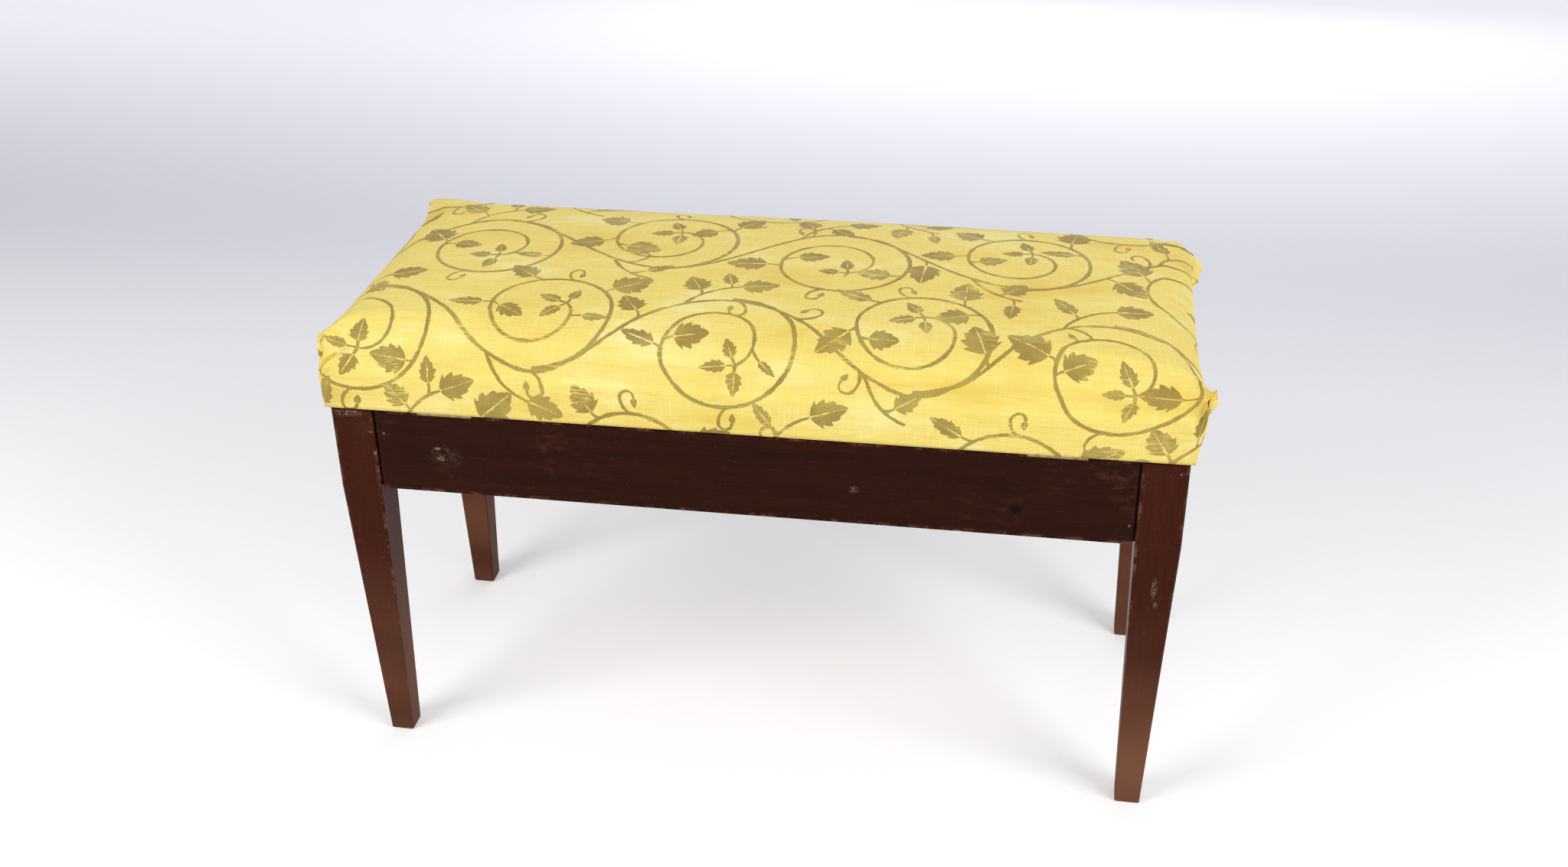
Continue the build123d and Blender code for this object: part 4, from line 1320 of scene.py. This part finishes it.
class STOOL_OT_stuffing(bpy.types.Operator):
    """Make the crowned pad of wadding under the cover"""
    bl_idname = "stool.stuffing"
    bl_label = "Stuffing"

    def execute(self, context):
        seat = context.scene.stool_seat
        form = SeatForm(seat, inset=PAD_INSET, bottom=BOARD_HIGH[2] + 0.0002)
        pad = seat_cloth(form, columns=92, rows=42, side_rows=8, hem_rows=0)
        border = [edge for edge in pad.edges if edge.is_boundary]
        bmesh.ops.holes_fill(pad, edges=border, sides=0)
        mesh = mesh_from(pad, "stuffing_pad")
        flat = read_points(mesh)
        points = form.place(flat)
        at = FlatPlace(flat, form)
        corner = np.clip(1 - (at.from_end + at.from_side) / PAD_CORNER, 0.0, 1.0) ** 2
        for axis, inward in enumerate(PAD_INWARD):
            points[:, axis] -= np.sign(points[:, axis]) * inward * corner
        write_points(mesh, points)
        wadding = matted("wadding", (120.0, 6.0, 0.7), (0.55, 0.47, 0.33), (0.80, 0.74, 0.60),
                         dullness=0.8, relief=(0.002, 0.8))
        piece = new_piece("stuffing_pad", mesh, "lid", wadding)
        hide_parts("stuffing")
        return {"FINISHED"}


class STOOL_OT_seat_cover(bpy.types.Operator):
    """Make the printed cloth cover, drawn over the pad, folded at its ears and turned under the lid"""
    bl_idname = "stool.seat_cover"
    bl_label = "Seat cover"

    def execute(self, context):
        seat = context.scene.stool_seat
        form = SeatForm(seat)
        cloth = seat_cloth(form, seat.columns, seat.rows, seat.side_rows, HEM_ROWS)
        mesh = mesh_from(cloth, "seat_cover_cloth")
        lay_cloth_map(mesh, form)
        flat = read_points(mesh)
        kept = mesh.attributes.new("flat_place", "FLOAT_VECTOR", "POINT")
        kept.data.foreach_set("vector", flat.astype(np.float32).ravel())
        write_points(mesh, form.place(flat))
        tighten(mesh, read_points(mesh)[:, 2] < BOARD_HIGH[2] + HELD_OVER, PULL_CAP)
        refine_corners(mesh, form)
        write_points(mesh, bend_corners(read_flat(mesh), read_points(mesh), form))
        raised = read(mesh.vertices, "normal", 3) * crease_heights(read_flat(mesh), form)[:, None]
        write_points(mesh, read_points(mesh) + raised)
        for mouth in MOUTHS:
            open_ear(mesh, form, mouth)
        cut_hinge_notches(mesh)
        mesh.attributes.remove(mesh.attributes["flat_place"])

        past_hem = 0.1
        reach = form.flat[0][1] + form.drop + form.hem + past_hem
        print_vine(mesh, Vine(seat.print_seed, reach, rows=2))
        finish = printed_cloth("printed_cloth", context.scene.stool_finish)
        cover = new_piece("seat_cover_cloth", mesh, "lid", finish)
        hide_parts("seat_cover")
        thicken(cover, seat.cloth_thickness, -1.0)
        return {"FINISHED"}


class STOOL_OT_lid_lining(bpy.types.Operator):
    """Make the black cotton tacked under the lid"""
    bl_idname = "stool.lid_lining"
    bl_label = "Lid lining"

    def execute(self, context):
        half = LINING_HIGH[:2]
        form = bmesh.new()
        bmesh.ops.create_grid(form, x_segments=106, y_segments=40, size=1.0)
        bmesh.ops.scale(form, verts=form.verts, vec=(half[0], half[1], 1.0))
        bmesh.ops.translate(form, verts=form.verts, vec=(0.0, 0.0, LINING_HIGH[2] - 0.0001))
        bmesh.ops.reverse_faces(form, faces=form.faces)
        mesh = mesh_from(form, "lid_lining_cloth")
        points = read_points(mesh)
        edge = np.minimum(half[0] - np.abs(points[:, 0]), half[1] - np.abs(points[:, 1]))
        ripples = np.sin(points[:, 0] * 2 * pi / TACK_STEP[0]) * np.sin(points[:, 1] * 2 * pi / TACK_STEP[1])
        points[:, 2] += 0.00022 * ripples * np.exp(-edge / 0.05) - 0.0002
        write_points(mesh, points)
        piece = new_piece("lid_lining_cloth", mesh, "lid", lining_cotton("lining_cotton"))
        thicken(piece, 0.0005, 1.0)
        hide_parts("lid_lining")
        return {"FINISHED"}


class STOOL_OT_stage(bpy.types.Operator):
    """Make the floor, the soft lamps and the camera"""
    bl_idname = "stool.stage"
    bl_label = "Stage"

    def execute(self, context):
        scene = context.scene
        stage = scene.stool_stage
        scene.view_settings.view_transform = "Standard"
        lay_ground(scene, stage)
        light_room(scene, stage)
        set_camera(scene, stage)
        return {"FINISHED"}


class STOOL_PT_panel(bpy.types.Panel):
    """Lists the stool's pieces and settings"""
    bl_idname = "STOOL_PT_panel"
    bl_label = "Piano stool"
    bl_space_type = "VIEW_3D"
    bl_region_type = "UI"
    bl_category = "Stool"

    def draw(self, context):
        for made in OPERATORS:
            self.layout.operator(made.bl_idname)
        for group in (context.scene.stool_seat, context.scene.stool_finish, context.scene.stool_stage):
            box = self.layout.box()
            for name in group.__annotations__:
                box.prop(group, name)


SETTINGS = (StoolSeatSettings, StoolFinishSettings, StoolStageSettings)
OPERATORS = (
    STOOL_OT_shared_effects, STOOL_OT_stand, STOOL_OT_inside_wood, STOOL_OT_fittings, STOOL_OT_felt_pads,
    STOOL_OT_stuffing, STOOL_OT_seat_cover, STOOL_OT_lid_lining, STOOL_OT_stage,
)


def register():
    """Adds the classes and their settings to Blender."""
    for made in SETTINGS + OPERATORS + (STOOL_PT_panel,):
        bpy.utils.register_class(made)
    bpy.types.Scene.stool_seat = PointerProperty(type=StoolSeatSettings)
    bpy.types.Scene.stool_finish = PointerProperty(type=StoolFinishSettings)
    bpy.types.Scene.stool_stage = PointerProperty(type=StoolStageSettings)


def unregister():
    """Takes the classes and their settings out of Blender."""
    del bpy.types.Scene.stool_stage
    del bpy.types.Scene.stool_finish
    del bpy.types.Scene.stool_seat
    for made in reversed(SETTINGS + OPERATORS + (STOOL_PT_panel,)):
        bpy.utils.unregister_class(made)


def main():
    """Dresses the stool."""
    register()
    bpy.ops.stool.shared_effects()
    bpy.ops.stool.stand()
    bpy.ops.stool.inside_wood()
    bpy.ops.stool.fittings()
    bpy.ops.stool.felt_pads()
    bpy.ops.stool.stuffing()
    bpy.ops.stool.seat_cover()
    bpy.ops.stool.lid_lining()
    bpy.ops.stool.stage()


if __name__ == "__main__":
    main()
